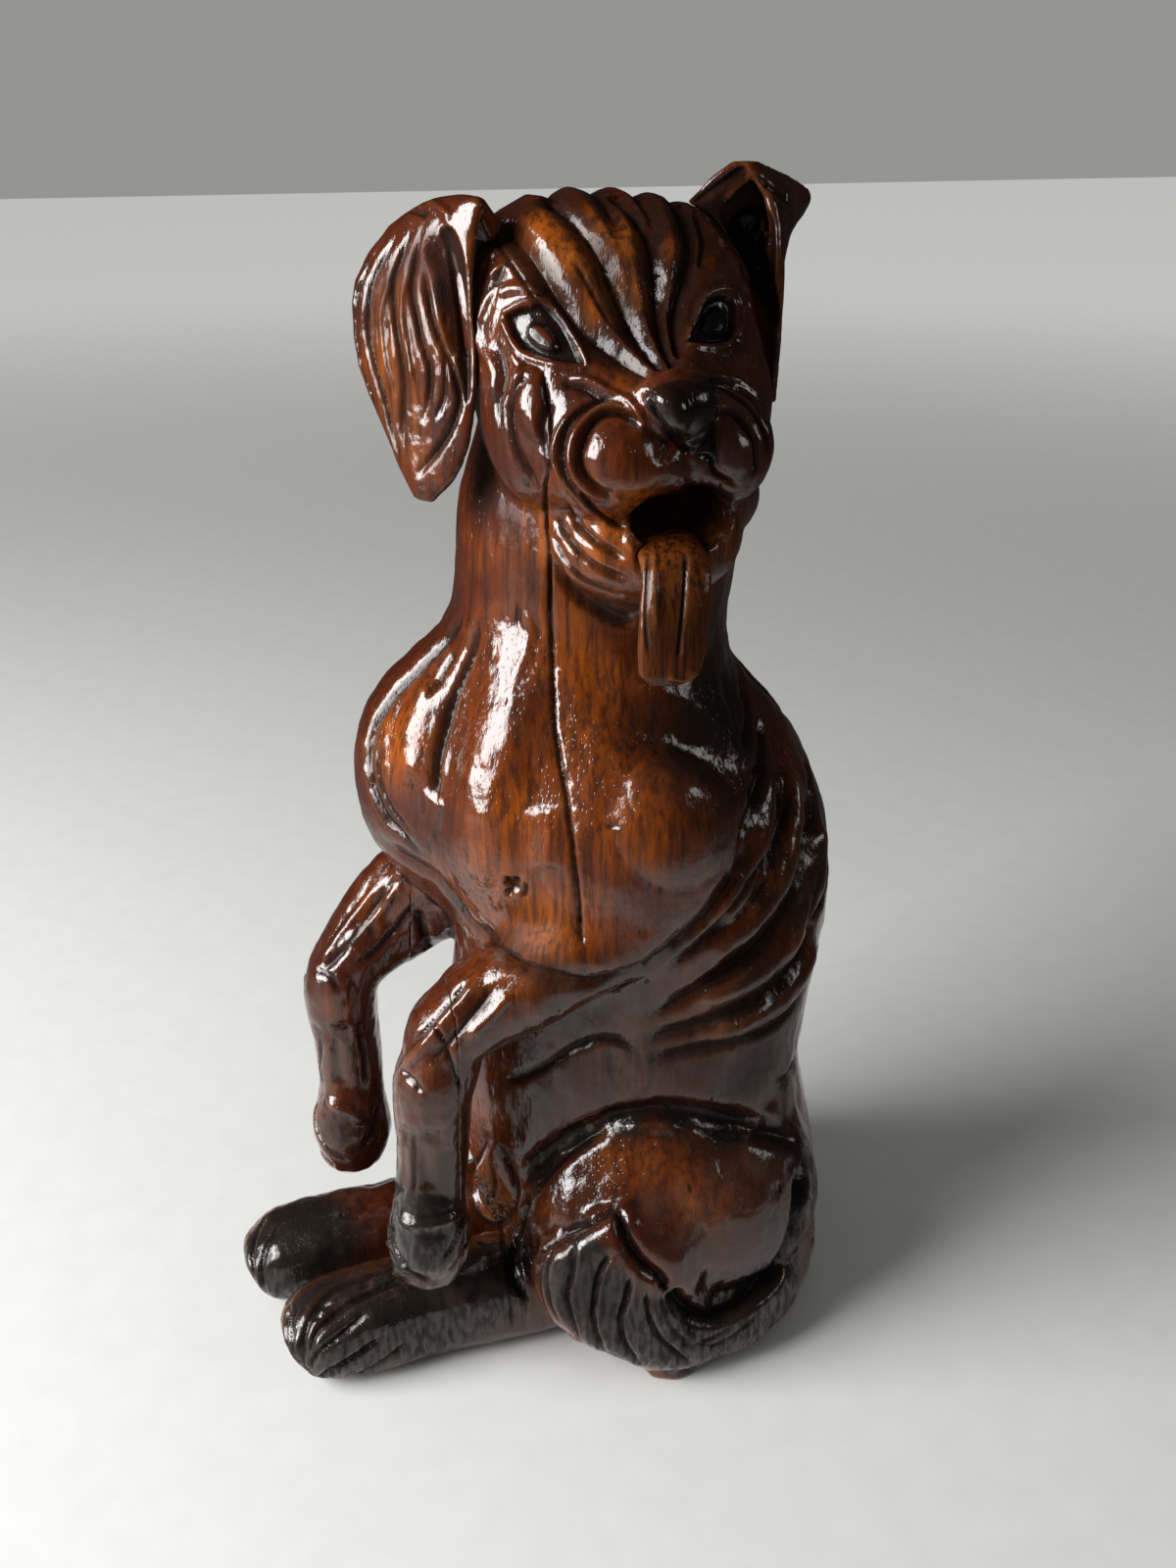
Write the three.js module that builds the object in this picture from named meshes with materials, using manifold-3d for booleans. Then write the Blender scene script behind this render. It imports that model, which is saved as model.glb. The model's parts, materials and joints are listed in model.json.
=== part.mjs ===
// A carved wooden dog sitting up: one log for head, body, thighs and tail, with glued-on limbs.
// Millimetres. +Z up, the hind feet point along -Y, the dog's own left is +X.
// The origin is the middle of the flat underside of the log.

import * as THREE from "three";
import ManifoldModule from "manifold-3d";

// Log
const SEAT_WIDTH = 150; // across the thighs
const SEAT_DEPTH = 142; // front of the seat to the rump
const WAIST_RADIUS = 64;
const RIB_RADIUS = 77;
const RIB_HEIGHT = 206; // floor to the middle of the rib cage
const NECK_RADIUS = 53;
const FOLD_RADIUS = 9; // rolls of skin on the flanks
const FOLD_RISE = 4;
const CUT_RADIUS = 7; // hollows over the thighs
const CUT_DEPTH = 5;

// Chest, half way round between the feet and the head
const CHEST_X = -8;
const CHEST_Y = -24;
const CHEST_HEIGHT = 238;
const CHEST_TURN = 50; // degrees from the feet to the dog's left
const CHEST_WIDTH = 148;

// Head, looking over the left thigh
const HEAD_X = 8;
const HEAD_Y = -25;
const HEAD_HEIGHT = 418;
const HEAD_TURN = 90; // degrees from the feet to the dog's left
const SKULL_WIDTH = 108;
const MUZZLE_REACH = 73; // head centre to the tip of the nose
const MOUTH_WIDTH = 36;
const MOUTH_HEIGHT = 24;

// Ears and tongue
const EAR_THICKNESS = 7;
const RIGHT_EAR_WIDTH = 58;
const LEFT_EAR_WIDTH = 50;
const TONGUE_WIDTH = 25;
const TONGUE_THICKNESS = 7;

// Forelegs
const ARM_JOINT_Y = -99; // front face of the log where they are glued on
const ARM_RADIUS = 17;
const FOREARM_RADIUS = 14.5;
const PAW_RADIUS = 19;
const PAW_CLEARANCE = 3; // over the hind feet

// Hind feet
const FOOT_JOINT_Y = -71; // front face of the log where they are glued on
const FOOT_LENGTH = 99; // joint to the toes
const FOOT_WIDTH = 42;
const FOOT_HEIGHT = 44;

// Tail, lying round the left thigh
const TAIL_RADIUS = 13;
const TUFT_HEIGHT = 84;

// Joints
const GLUE_GAP = 0.3;
const DOWEL_RADIUS = 4;
const DOWEL_LENGTH = 24;
const EAR_PEG_RADIUS = 2;
const EAR_PEG_LENGTH = 12;
const DOWEL_FIT = 0.3;

const rad = THREE.MathUtils.degToRad;
const BIG = 600;
const SKIN_LIMIT = 150; // from the middle of a form, outside all its skin

const manifold = await ManifoldModule();
manifold.setup();

// Swellings of the body, each a rough distance to its surface, negative inside
function egg([cx, cy, cz], [across, along, tall], turn = 0) {
  const c = Math.cos(rad(turn));
  const s = Math.sin(rad(turn));
  return (x, y, z) => {
    const a = (x - cx) * c + (y - cy) * s;
    const b = (y - cy) * c - (x - cx) * s;
    const h = z - cz;
    const near = Math.hypot(a / across, b / along, h / tall);
    const steep = Math.hypot(a / across ** 2, b / along ** 2, h / tall ** 2);
    return steep < 1e-9 ? -Math.min(across, along, tall) : (near * (near - 1)) / steep;
  };
}

function taper(from, fromRadius, to, toRadius) {
  const u = to.map((v, i) => v - from[i]);
  const uu = u[0] ** 2 + u[1] ** 2 + u[2] ** 2;
  return (x, y, z) => {
    const px = x - from[0];
    const py = y - from[1];
    const pz = z - from[2];
    const t = THREE.MathUtils.clamp((px * u[0] + py * u[1] + pz * u[2]) / uu, 0, 1);
    const radius = fromRadius + t * (toRadius - fromRadius);
    return Math.hypot(px - t * u[0], py - t * u[1], pz - t * u[2]) - radius;
  };
}

// One flowing surface over several swellings, each run into the rest over its own width
function flesh(swellings) {
  return (x, y, z) => {
    let d = 1e9;
    for (const [form, run] of swellings) {
      const e = form(x, y, z);
      const h = Math.max(run - Math.abs(d - e), 0) / run;
      d = Math.min(d, e) - (h * h * run) / 4;
    }
    return d;
  };
}

// Places given as forward, left and up of a part of the body that is turned on the log
function turned([x0, y0, z0], turn) {
  const c = Math.cos(rad(turn));
  const s = Math.sin(rad(turn));
  return (forward, left, up) => [x0 + forward * s + left * c, y0 - forward * c + left * s, z0 + up];
}

const chest = turned([CHEST_X, CHEST_Y, CHEST_HEIGHT], CHEST_TURN);
const head = turned([HEAD_X, HEAD_Y, HEAD_HEIGHT], HEAD_TURN);
const chestHalf = CHEST_WIDTH / 2;
const skullHalf = SKULL_WIDTH / 2;
const nose = MUZZLE_REACH - 13;
const neckTop = HEAD_HEIGHT - 68;

const trunkForm = flesh([
  [egg([-2, 4, 42], [SEAT_WIDTH / 2 - 4, SEAT_DEPTH / 2, 74]), 10],
  [taper([0, 5, 70], WAIST_RADIUS, [-4, 0, RIB_HEIGHT - 16], WAIST_RADIUS), 24],
  [egg([0, -40, 118], [48, 50, 88]), 16],
  [egg([-8, 1, RIB_HEIGHT - 8], [RIB_RADIUS - 10, RIB_RADIUS, 98], 0), 26],
  [egg(chest(18, 2, 0), [chestHalf, 58, 64], CHEST_TURN), 14],
  [egg(chest(22, 22 - chestHalf, 6), [41, 38, 54], CHEST_TURN), 14],
  [egg(chest(30, chestHalf - 44, -4), [40, 42, 60], CHEST_TURN), 14],
  [taper([-6, -28, CHEST_HEIGHT + 52], NECK_RADIUS, [-4, -22, neckTop], NECK_RADIUS), 26],
  [taper([-4, -22, neckTop], NECK_RADIUS - 1, [0, -24, HEAD_HEIGHT - 6], 39), 6],
  [egg([40, -4, 60], [SEAT_WIDTH / 2 - 33, 67, 54], -8), 7],
  [egg([-42, -2, 60], [SEAT_WIDTH / 2 - 35, 62, 54], 8), 7],
]);

const headForm = flesh([
  [egg(head(-6, -12, 6), [skullHalf - 13, 45, 44], HEAD_TURN), 14],
  [egg(head(-6, 17, 5), [skullHalf - 14, 45, 43], HEAD_TURN), 14],
  [egg(head(20, -24, -22), [25, 32, 34], HEAD_TURN), 12],
  [egg(head(18, 26, -22), [30, 32, 34], HEAD_TURN), 12],
  [egg(head(nose - 26, 2, -18), [30, 30, 28], HEAD_TURN), 12],
  [egg(head(nose - 12, -14, -31), [22, 19, 22], HEAD_TURN), 5],
  [egg(head(nose - 15, 27, -31), [20, 20, 21], HEAD_TURN), 5],
  [egg(head(nose - 1, 5, -11), [14, 13, 12], HEAD_TURN), 3],
]);

// Closed skin over rows of rings, with a fan at each end
function skin(rows) {
  const columns = rows[0].length;
  const points = rows.flat();
  const index = [];
  for (let i = 0; i < rows.length - 1; i += 1) {
    for (let j = 0; j < columns; j += 1) {
      const a = i * columns + j;
      const b = i * columns + ((j + 1) % columns);
      index.push(a, b, b + columns, a, b + columns, a + columns);
    }
  }
  for (const [row, turn] of [[0, -1], [rows.length - 1, 1]]) {
    const middle = new THREE.Vector3();
    for (const p of rows[row]) middle.add(p);
    points.push(middle.divideScalar(columns));
    for (let j = 0; j < columns; j += 1) {
      const a = row * columns + j;
      const b = row * columns + ((j + 1) % columns);
      index.push(points.length - 1, ...(turn > 0 ? [a, b] : [b, a]));
    }
  }
  const geometry = new THREE.BufferGeometry().setFromPoints(points);
  geometry.setIndex(index);
  return geometry;
}

// Walks in from outside to the surface along one line
function reach(form, from, direction) {
  let r = SKIN_LIMIT;
  const p = new THREE.Vector3();
  for (let i = 0; i < 400 && r > 1; i += 1) {
    p.copy(from).addScaledVector(direction, r);
    const d = form(p.x, p.y, p.z);
    if (d < 0.01) break;
    r -= Math.max(0.02, 0.6 * d);
  }
  return r;
}

// Middle line of the trunk as height, x, y
const SPINE = [[0, 0, 4], [70, 0, 2], [130, -1, -4], [CHEST_HEIGHT, -8, -20], [neckTop, -4, -20]];

function spineAt(z) {
  const k = SPINE.findIndex(([height]) => z <= height);
  if (k < 0) return SPINE.at(-1).slice(1);
  if (k === 0) return SPINE[0].slice(1);
  const [[z0, x0, y0], [z1, x1, y1]] = [SPINE[k - 1], SPINE[k]];
  const t = THREE.MathUtils.smoothstep(z, z0, z1);
  return [x0 + t * (x1 - x0), y0 + t * (y1 - y0)];
}

function trunk(grow = 0) {
  const rows = [];
  const top = HEAD_HEIGHT + 6;
  const levels = [0, 4];
  for (let z = 10; z < top - 4; z += 11) levels.push(z);
  levels.push(top);
  for (const z of levels) {
    const [cx, cy] = spineAt(z);
    const from = new THREE.Vector3(cx, cy, Math.max(z, 4));
    const ring = [];
    for (let j = 0; j < 56; j += 1) {
      const angle = (2 * Math.PI * j) / 56;
      const out = new THREE.Vector3(Math.cos(angle), Math.sin(angle), 0);
      const r = reach(trunkForm, from, out) + grow - (z < 4 ? 3 : 0);
      ring.push(new THREE.Vector3(cx, cy, z).addScaledVector(out, r));
    }
    rows.push(ring);
  }
  return skin(rows);
}

function skull(grow = 0) {
  const centre = new THREE.Vector3(...head(2, 1, -14));
  const forward = new THREE.Vector3(...head(3, 1, -14)).sub(centre);
  const up = new THREE.Vector3(0, 0, 1);
  const left = up.clone().cross(forward);
  const rows = [];
  for (let i = 0; i < 31; i += 1) {
    const fall = Math.PI * (0.014 + 0.972 * (i / 30) ** 1.08);
    const ring = [];
    for (let j = 0; j < 48; j += 1) {
      const angle = (2 * Math.PI * j) / 48;
      const out = forward.clone().multiplyScalar(Math.cos(fall));
      out.addScaledVector(left, Math.sin(fall) * Math.cos(angle));
      out.addScaledVector(up, Math.sin(fall) * Math.sin(angle));
      ring.push(centre.clone().addScaledVector(out, reach(headForm, centre, out) + grow));
    }
    rows.push(ring.reverse());
  }
  return skin(rows);
}

// Width directions for a sweep: held to one line, or kept level
function heldTo(line) {
  return (along) => line.clone().addScaledVector(along, -line.dot(along)).normalize();
}

function level(along) {
  return along.clone().cross(new THREE.Vector3(0, 0, 1)).normalize();
}

// Smooth curve through the three values of each row that start at the given column
function curve(rows, column) {
  const points = rows.map((row) => new THREE.Vector3(...row.slice(column, column + 3)));
  return new THREE.CatmullRomCurve3(points, false, "centripetal");
}

// A limb swept through stations x, y, z, half width, half depth
function limb(stations, steps, columns, power, sideways) {
  const path = curve(stations, 0);
  const rows = [];
  const last = stations.length - 1;
  for (let i = 0; i <= steps; i += 1) {
    const u = i / steps;
    const k = Math.min(last - 1, Math.floor(u * last));
    const t = THREE.MathUtils.smoothstep(u * last - k, 0, 1);
    const [wide, deep] = [3, 4].map((c) => THREE.MathUtils.lerp(stations[k][c], stations[k + 1][c], t));
    const along = path.getTangent(u);
    const side = sideways(along);
    const back = along.clone().cross(side);
    const ring = [];
    for (let j = 0; j < columns; j += 1) {
      const angle = (2 * Math.PI * j) / columns;
      const c = Math.cos(angle);
      const s = Math.sin(angle);
      const p = path.getPoint(u);
      p.addScaledVector(side, Math.sign(c) * Math.abs(c) ** (2 / power) * wide);
      p.addScaledVector(back, Math.sign(s) * Math.abs(s) ** (2 / power) * deep);
      ring.push(p);
    }
    rows.push(ring);
  }
  return skin(rows);
}

// Foreleg from inside the chest, over the wrist, down to the drooping paw
function foreleg({ shoulder, x, jointZ, wristY, wristZ, pawY, swell }) {
  const drop = wristZ - FOOT_HEIGHT - PAW_CLEARANCE;
  const middleZ = (shoulder[2] + jointZ - swell) / 2;
  const [a, f, p] = [ARM_RADIUS, FOREARM_RADIUS, PAW_RADIUS];
  return limb(
    [
      [...shoulder, a + 8, a + 7],
      [(2 * shoulder[0] + x) / 3, (shoulder[1] + ARM_JOINT_Y) / 2, middleZ, a + 6, a + 4 + swell / 2],
      [x, ARM_JOINT_Y, jointZ - swell / 2, a + 1, a + swell / 2],
      [x, wristY + 5, wristZ + 5, a + 0.5, a - 1.5],
      [x, wristY + 1, wristZ - 9, a + 1, a - 1],
      [x, (wristY + pawY) / 2 + 3, wristZ - drop * 0.34, f, f],
      [x, pawY + 4, wristZ - drop * 0.56, f, f],
      [x, pawY + 3, wristZ - drop * 0.78, p, p - 1],
      [x, pawY + 1, wristZ - drop + 9, p - 2, p - 4],
      [x, pawY, wristZ - drop + 1, p - 10, p - 11],
    ],
    22,
    14,
    2.2,
    heldTo(new THREE.Vector3(1, 0, 0)),
  );
}

// Hind foot from inside the seat out to the toes
function hindFoot(x, length) {
  const w = FOOT_WIDTH / 2;
  const h = FOOT_HEIGHT / 2;
  const toe = FOOT_JOINT_Y - length;
  return limb(
    [
      [x, -36, h + 4, w + 2, h + 3],
      [x, FOOT_JOINT_Y, h, w * 0.97, h],
      [x, FOOT_JOINT_Y - length * 0.35, h - 1.5, w * 0.93, h - 1],
      [x, FOOT_JOINT_Y - length * 0.65, h - 2, w, h - 1.5],
      [x, toe + length * 0.14, h - 3.5, w, h - 3.5],
      [x, toe + 4, h - 7, w * 0.84, h - 7.5],
      [x, toe, h - 9, w * 0.55, h - 12],
    ],
    16,
    18,
    2.7,
    heldTo(new THREE.Vector3(1, 0, 0)),
  );
}

// Tail from the rump along the floor round the thigh, widening to an upright tuft
function tail() {
  const r = TAIL_RADIUS;
  const t = TUFT_HEIGHT / 2;
  const side = SEAT_WIDTH / 2;
  return limb(
    [
      [-14, SEAT_DEPTH / 2 - 14, 48, r, r],
      [18, SEAT_DEPTH / 2 - 9, 32, r, r + 2],
      [side - 26, 46, r + 9, r + 2, r + 4],
      [side - 5, 20, r + 7, r + 3, r + 4],
      [side - 1, 0, r + 6, r + 2, r + 3],
      [side, -20, t - 14, r + 1, t - 18],
      [side - 3, -37, t + 8, r, t - 4],
      [side - 9, -53, t + 9, r - 1, t - 14],
      [side - 15, -63, t + 12, r - 4, t - 25],
      [side - 19, -68, t + 14, 4, t - 34],
    ],
    26,
    16,
    2.5,
    level,
  );
}

// Ear: rows of forward, left, up of its middle, then the line across it, half width, thickness, cup
function ear(rows, outward) {
  const path = curve(rows.map(([forward, left, up]) => head(forward, left, up)), 0);
  const lines = curve(rows, 3);
  const sizes = curve(rows, 6);
  const origin = new THREE.Vector3(...head(0, 0, 0));
  const rings = [];
  const steps = 16;
  for (let i = 0; i <= steps; i += 1) {
    const u = i / steps;
    const line = lines.getPoint(u);
    const across = new THREE.Vector3(...head(line.x, line.y, line.z)).sub(origin).normalize();
    const out = across.clone().cross(path.getTangent(u)).normalize().multiplyScalar(outward);
    const size = sizes.getPoint(u);
    const ring = [];
    for (let j = 0; j < 18; j += 1) {
      const angle = (2 * Math.PI * j) / 18;
      const c = Math.cos(angle);
      const s = Math.sin(angle);
      const a = Math.sign(c) * Math.abs(c) ** 0.8;
      const b = (Math.sign(s) * Math.abs(s) ** 0.7 * size.y) / 2 - size.z * a * a;
      ring.push(path.getPoint(u).addScaledVector(across, a * size.x).addScaledVector(out, b));
    }
    rings.push(outward > 0 ? ring.reverse() : ring);
  }
  return skin(rings);
}

// Right ear hangs clear of the cheek with its rear edge flared out
function rightEar() {
  const w = RIGHT_EAR_WIDTH / 2;
  const t = EAR_THICKNESS;
  return ear(
    [
      [0, -39, 35, 1, 0, 0.1, w * 0.28, t + 3, 0],
      [-2, -49, 45, 1, 0.2, 0.1, w * 0.55, t + 1, 0],
      [-5, -57, 42, 1, 0.5, 0.1, w * 0.76, t, 1],
      [-6, -67, 23, 1, 0.7, 0.1, w * 0.95, t, 2],
      [-5, -69, -1, 1, 0.7, 0, w, t, 3],
      [-2, -67, -24, 1, 0.7, -0.1, w * 0.84, t - 1, 2],
      [1, -66, -42, 1, 0.7, -0.1, w * 0.5, t - 1, 1],
      [2, -67, -53, 1, 0.7, -0.1, w * 0.15, t - 3, 0],
    ],
    -1,
  );
}

// Left ear stands up, folds sharply at the top and drops beside the cheek
function leftEar() {
  const w = LEFT_EAR_WIDTH / 2;
  const t = EAR_THICKNESS;
  return ear(
    [
      [-6, 36, 24, 0.27, -0.49, 0.83, w * 0.8, t + 2, 0],
      [-7, 50, 33, 0.3, -0.6, 0.75, w * 0.88, t + 1, 0],
      [-8, 60, 43, 0.45, -0.75, 0.5, w * 0.96, t, 0],
      [-8, 69, 51, 0.54, -0.79, 0.27, w, t, 0],
      [-6, 72, 42, 0.7, -0.6, 0.2, w * 0.86, t, 1],
      [-4, 65, 20, 0.95, -0.1, 0.1, w * 0.74, t, 2],
      [-5, 60, -3, 0.9, 0.4, 0, w * 0.62, t - 1, 1],
      [-3, 65, -26, 0.9, 0.4, 0, w * 0.24, t - 3, 0],
    ],
    1,
  );
}

// Tongue let into the mouth, over the lip and straight down
function tongue(grow = 0) {
  const w = TONGUE_WIDTH / 2 + grow;
  const t = TONGUE_THICKNESS / 2 + grow;
  const lip = MUZZLE_REACH - 2;
  const stations = [
    [lip - 31 - grow, 6, -64, w * 0.8, t],
    [lip - 17, 6, -62, w * 0.95, t],
    [lip - 5, 5, -67, w, t],
    [lip, 3, -79, w, t],
    [lip + 1, 2, -93, w, t],
    [lip + 1, 1, -101, w * 0.9, t],
    [lip, 1, -106 - grow, w * 0.5, t * 0.6],
  ];
  const placed = stations.map(([f, l, u, wide, deep]) => [...head(f, l, u), wide, deep]);
  const origin = new THREE.Vector3(...head(0, 0, 0));
  const across = new THREE.Vector3(...head(0.05, 1, 0)).sub(origin);
  return limb(placed, 14, 14, 2.8, heldTo(across));
}

function peg([x, y, z], along, radius, length) {
  const rod = new THREE.CylinderGeometry(radius, radius, length, 12);
  const line = new THREE.Vector3(...along).normalize();
  rod.applyQuaternion(new THREE.Quaternion().setFromUnitVectors(new THREE.Vector3(0, 1, 0), line));
  return rod.translate(x, y, z);
}

// Solids for joining and cutting
function solid(geometry) {
  const position = geometry.attributes.position;
  const keys = new Map();
  const points = [];
  const merged = [];
  for (let i = 0; i < position.count; i += 1) {
    const p = [position.getX(i), position.getY(i), position.getZ(i)];
    const key = p.map((v) => Math.round(v * 1e4)).join();
    if (!keys.has(key)) {
      keys.set(key, keys.size);
      points.push(...p);
    }
    merged.push(keys.get(key));
  }
  const corners = [];
  for (let i = 0; i < geometry.index.count; i += 3) {
    const t = [0, 1, 2].map((k) => merged[geometry.index.getX(i + k)]);
    if (new Set(t).size === 3) corners.push(...t);
  }
  const mesh = new manifold.Mesh({
    numProp: 3,
    vertProperties: Float32Array.from(points),
    triVerts: Uint32Array.from(corners),
  });
  return new manifold.Manifold(mesh);
}

function block(min, max) {
  const size = max.map((v, i) => v - min[i]);
  const middle = max.map((v, i) => (v + min[i]) / 2);
  return solid(new THREE.BoxGeometry(...size).translate(...middle));
}

const floor = block([-BIG, -BIG, -BIG], [BIG, BIG, 0]);
const gap = GLUE_GAP / 2;

// Parts a limb at its glue line into the stump on the log and the glued-on piece
function parted(whole, jointY, underside) {
  const stump = whole.intersect(block([-BIG, jointY + gap, underside], [BIG, BIG, BIG]));
  const glued = whole.subtract(block([-BIG, jointY - gap, underside - GLUE_GAP], [BIG, BIG, BIG]));
  return [stump, glued];
}

const leftArmZ = CHEST_HEIGHT - 73;
const rightArmZ = CHEST_HEIGHT - 54;
const [leftX, rightX] = [45, -40];
const leftLimb = solid(
  foreleg({
    shoulder: [50, -24, leftArmZ + 48],
    x: leftX,
    jointZ: leftArmZ,
    wristY: ARM_JOINT_Y - 8,
    wristZ: leftArmZ - 16,
    pawY: ARM_JOINT_Y - 14,
    swell: -2,
  }),
);
const rightLimb = solid(
  foreleg({
    shoulder: [-26, -50, rightArmZ + 42],
    x: rightX,
    jointZ: rightArmZ,
    wristY: ARM_JOINT_Y - 30,
    wristZ: rightArmZ - 36,
    pawY: ARM_JOINT_Y - 31,
    swell: 14,
  }),
);
const [leftStump, leftPiece] = parted(leftLimb, ARM_JOINT_Y, leftArmZ - ARM_RADIUS - 1);
const [rightStump, rightPiece] = parted(rightLimb, ARM_JOINT_Y, rightArmZ - ARM_RADIUS - 8);
const [leftFootX, rightFootX] = [30, -22];
const [leftSole, leftFootPiece] = parted(solid(hindFoot(leftFootX, FOOT_LENGTH - 2)), FOOT_JOINT_Y, -BIG);
const [rightSole, rightFootPiece] = parted(solid(hindFoot(rightFootX, FOOT_LENGTH + 8)), FOOT_JOINT_Y, -BIG);

const belly = new THREE.SphereGeometry(1, 14, 10).scale(10, 12, 20).translate(8, 5 - SEAT_DEPTH / 2, 60);
const pad = new THREE.CylinderGeometry(12, 13, 14, 14).rotateX(Math.PI / 2);
pad.translate(SEAT_WIDTH / 2 - 2, -15, 7);

// Place on the trunk: turn in degrees from the dog's left, height, and how far out of the skin
function onTrunk(turn, z, out) {
  const [cx, cy] = spineAt(z);
  const from = new THREE.Vector3(cx, cy, z);
  const way = new THREE.Vector3(Math.cos(rad(turn)), Math.sin(rad(turn)), 0);
  const r = reach(trunkForm, from, way) + out;
  return from.addScaledVector(way, r);
}

// Round bar along the skin through turns and heights, its ends turned in or out by the given step
function bar(path, radius, out, step) {
  const stations = path.map(([turn, z], i) => {
    const end = i === 0 || i === path.length - 1;
    return [...onTrunk(turn, z, out + (end ? step : 0)), radius, radius];
  });
  const outward = rad(path[path.length >> 1][0]);
  const away = new THREE.Vector3(Math.cos(outward), Math.sin(outward), 0);
  return limb(stations, 2 * path.length - 2, 8, 2, heldTo(away));
}

const mirrored = (path) => path.map(([turn, z]) => [180 - turn, z]);

// Rolls of skin over the ribs, from the back down to the belly
const rib = RIB_HEIGHT;
const folds = [
  [[48, rib + 62], [43, rib + 46], [35, rib + 33], [26, rib + 18], [17, rib + 9], [3, rib - 3]],
  [[64, rib + 50], [56, rib + 38], [46, rib + 17], [33, rib + 2], [17, rib - 9], [0, rib - 20]],
  [[70, rib + 28], [62, rib + 12], [48, rib - 14], [31, rib - 26], [13, rib - 31], [-4, rib - 37]],
  [[68, rib - 22], [54, rib - 36], [38, rib - 46], [14, rib - 49], [-14, rib - 54]],
];

// Hollow over the left thigh, from the groin up and round to the rump
const hollow = [
  [-66, 66], [-60, 82], [-51, 98], [-37, 110], [-21, 118], [-6, 119], [11, 112], [26, 103], [42, 90],
];

// A round form on the head: forward, left and up of its middle, then its half sizes the same way
function knob(at, half, columns) {
  const ball = new THREE.SphereGeometry(1, columns, columns / 2).scale(...half);
  return ball.rotateZ(rad(HEAD_TURN - 90)).translate(...head(...at));
}

const jowl = knob([MUZZLE_REACH - 58, 10, -52], [40, 44, 28], 28);
const jaw = knob([MUZZLE_REACH - 43, 6, -64], [32, 36, 25], 26);
const mouth = knob([MUZZLE_REACH - 17, 11, -52], [28, MOUTH_WIDTH / 2, MOUTH_HEIGHT / 2], 20);

// The seat stays behind the joint face of the feet
const footFront = block([-BIG, -BIG, -BIG], [BIG, FOOT_JOINT_Y + gap, FOOT_HEIGHT + 4]);

const pegs = {
  left_foreleg_dowel: [[leftX, ARM_JOINT_Y, leftArmZ], [0, 1, 0.15], DOWEL_RADIUS, DOWEL_LENGTH],
  right_foreleg_dowel: [[rightX, ARM_JOINT_Y, rightArmZ], [0, 1, 0.8], DOWEL_RADIUS, DOWEL_LENGTH],
  left_foot_dowel: [[leftFootX, FOOT_JOINT_Y, FOOT_HEIGHT / 2], [0, 1, 0], DOWEL_RADIUS, DOWEL_LENGTH],
  right_foot_dowel: [[rightFootX, FOOT_JOINT_Y, FOOT_HEIGHT / 2], [0, 1, 0], DOWEL_RADIUS, DOWEL_LENGTH],
  left_ear_dowel: [head(-6.4, 45, 29.6), [-0.07, 0.84, 0.54], EAR_PEG_RADIUS, EAR_PEG_LENGTH],
  right_ear_dowel: [head(-1.6, -39.5, 33.5), [-0.12, -0.72, 0.6], EAR_PEG_RADIUS, EAR_PEG_LENGTH],
};
const holes = Object.fromEntries(
  Object.entries(pegs).map(([name, [at, along, radius, length]]) => [
    name,
    solid(peg(at, along, radius + DOWEL_FIT, length + 2 * DOWEL_FIT)),
  ]),
);

const clearHead = solid(skull(GLUE_GAP));
const clearTrunk = solid(trunk(GLUE_GAP));
let log = solid(trunk()).add(solid(skull())).add(solid(jowl)).add(solid(jaw));
log = log.add(leftStump).add(rightStump);
log = log.add(leftSole).add(rightSole).add(solid(tail())).add(solid(belly)).add(solid(pad));
for (const fold of [...folds, mirrored(folds[1]), mirrored(folds[3])]) {
  log = log.add(solid(bar(fold, FOLD_RADIUS, FOLD_RISE - FOLD_RADIUS, -FOLD_RADIUS)));
}
for (const path of [hollow, mirrored(hollow)]) {
  log = log.subtract(solid(bar(path, CUT_RADIUS, CUT_RADIUS - CUT_DEPTH, CUT_RADIUS)));
}
log = log.subtract(floor).subtract(footFront);
log = log.subtract(solid(mouth)).subtract(solid(tongue(GLUE_GAP)));
for (const hole of Object.values(holes)) log = log.subtract(hole);

const WOOD = 0x7a3211;
const DARK_WOOD = 0x40211a;
const EAR_WOOD = 0x6e2f12;
const TONGUE_WOOD = 0x9a4a16;
const PLAIN_WOOD = 0xb08d60;

const bodies = {
  carved_log: [log, WOOD],
  left_foreleg: [leftPiece.subtract(clearTrunk).subtract(holes.left_foreleg_dowel), WOOD],
  right_foreleg: [rightPiece.subtract(clearTrunk).subtract(holes.right_foreleg_dowel), WOOD],
  left_hind_foot: [leftFootPiece.subtract(floor).subtract(holes.left_foot_dowel), DARK_WOOD],
  right_hind_foot: [rightFootPiece.subtract(floor).subtract(holes.right_foot_dowel), DARK_WOOD],
  left_ear: [solid(leftEar()).subtract(clearHead).subtract(holes.left_ear_dowel), EAR_WOOD],
  right_ear: [solid(rightEar()).subtract(clearHead).subtract(holes.right_ear_dowel), EAR_WOOD],
  tongue: [solid(tongue()), TONGUE_WOOD],
};
for (const [name, [at, along, radius, length]] of Object.entries(pegs)) {
  bodies[name] = [solid(peg(at, along, radius, length)), PLAIN_WOOD];
}

const dog = new THREE.Group();
dog.name = "carved_dog";
for (const [name, [body, color]] of Object.entries(bodies)) {
  const { vertProperties, triVerts } = body.getMesh();
  const indexed = new THREE.BufferGeometry();
  indexed.setAttribute("position", new THREE.BufferAttribute(Float32Array.from(vertProperties), 3));
  indexed.setIndex(Array.from(triVerts));
  const geometry = indexed.toNonIndexed();
  geometry.computeVertexNormals();
  const mesh = new THREE.Mesh(geometry, new THREE.MeshStandardMaterial({ color, roughness: 0.35 }));
  mesh.name = name;
  dog.add(mesh);
}

export default dog;
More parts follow.
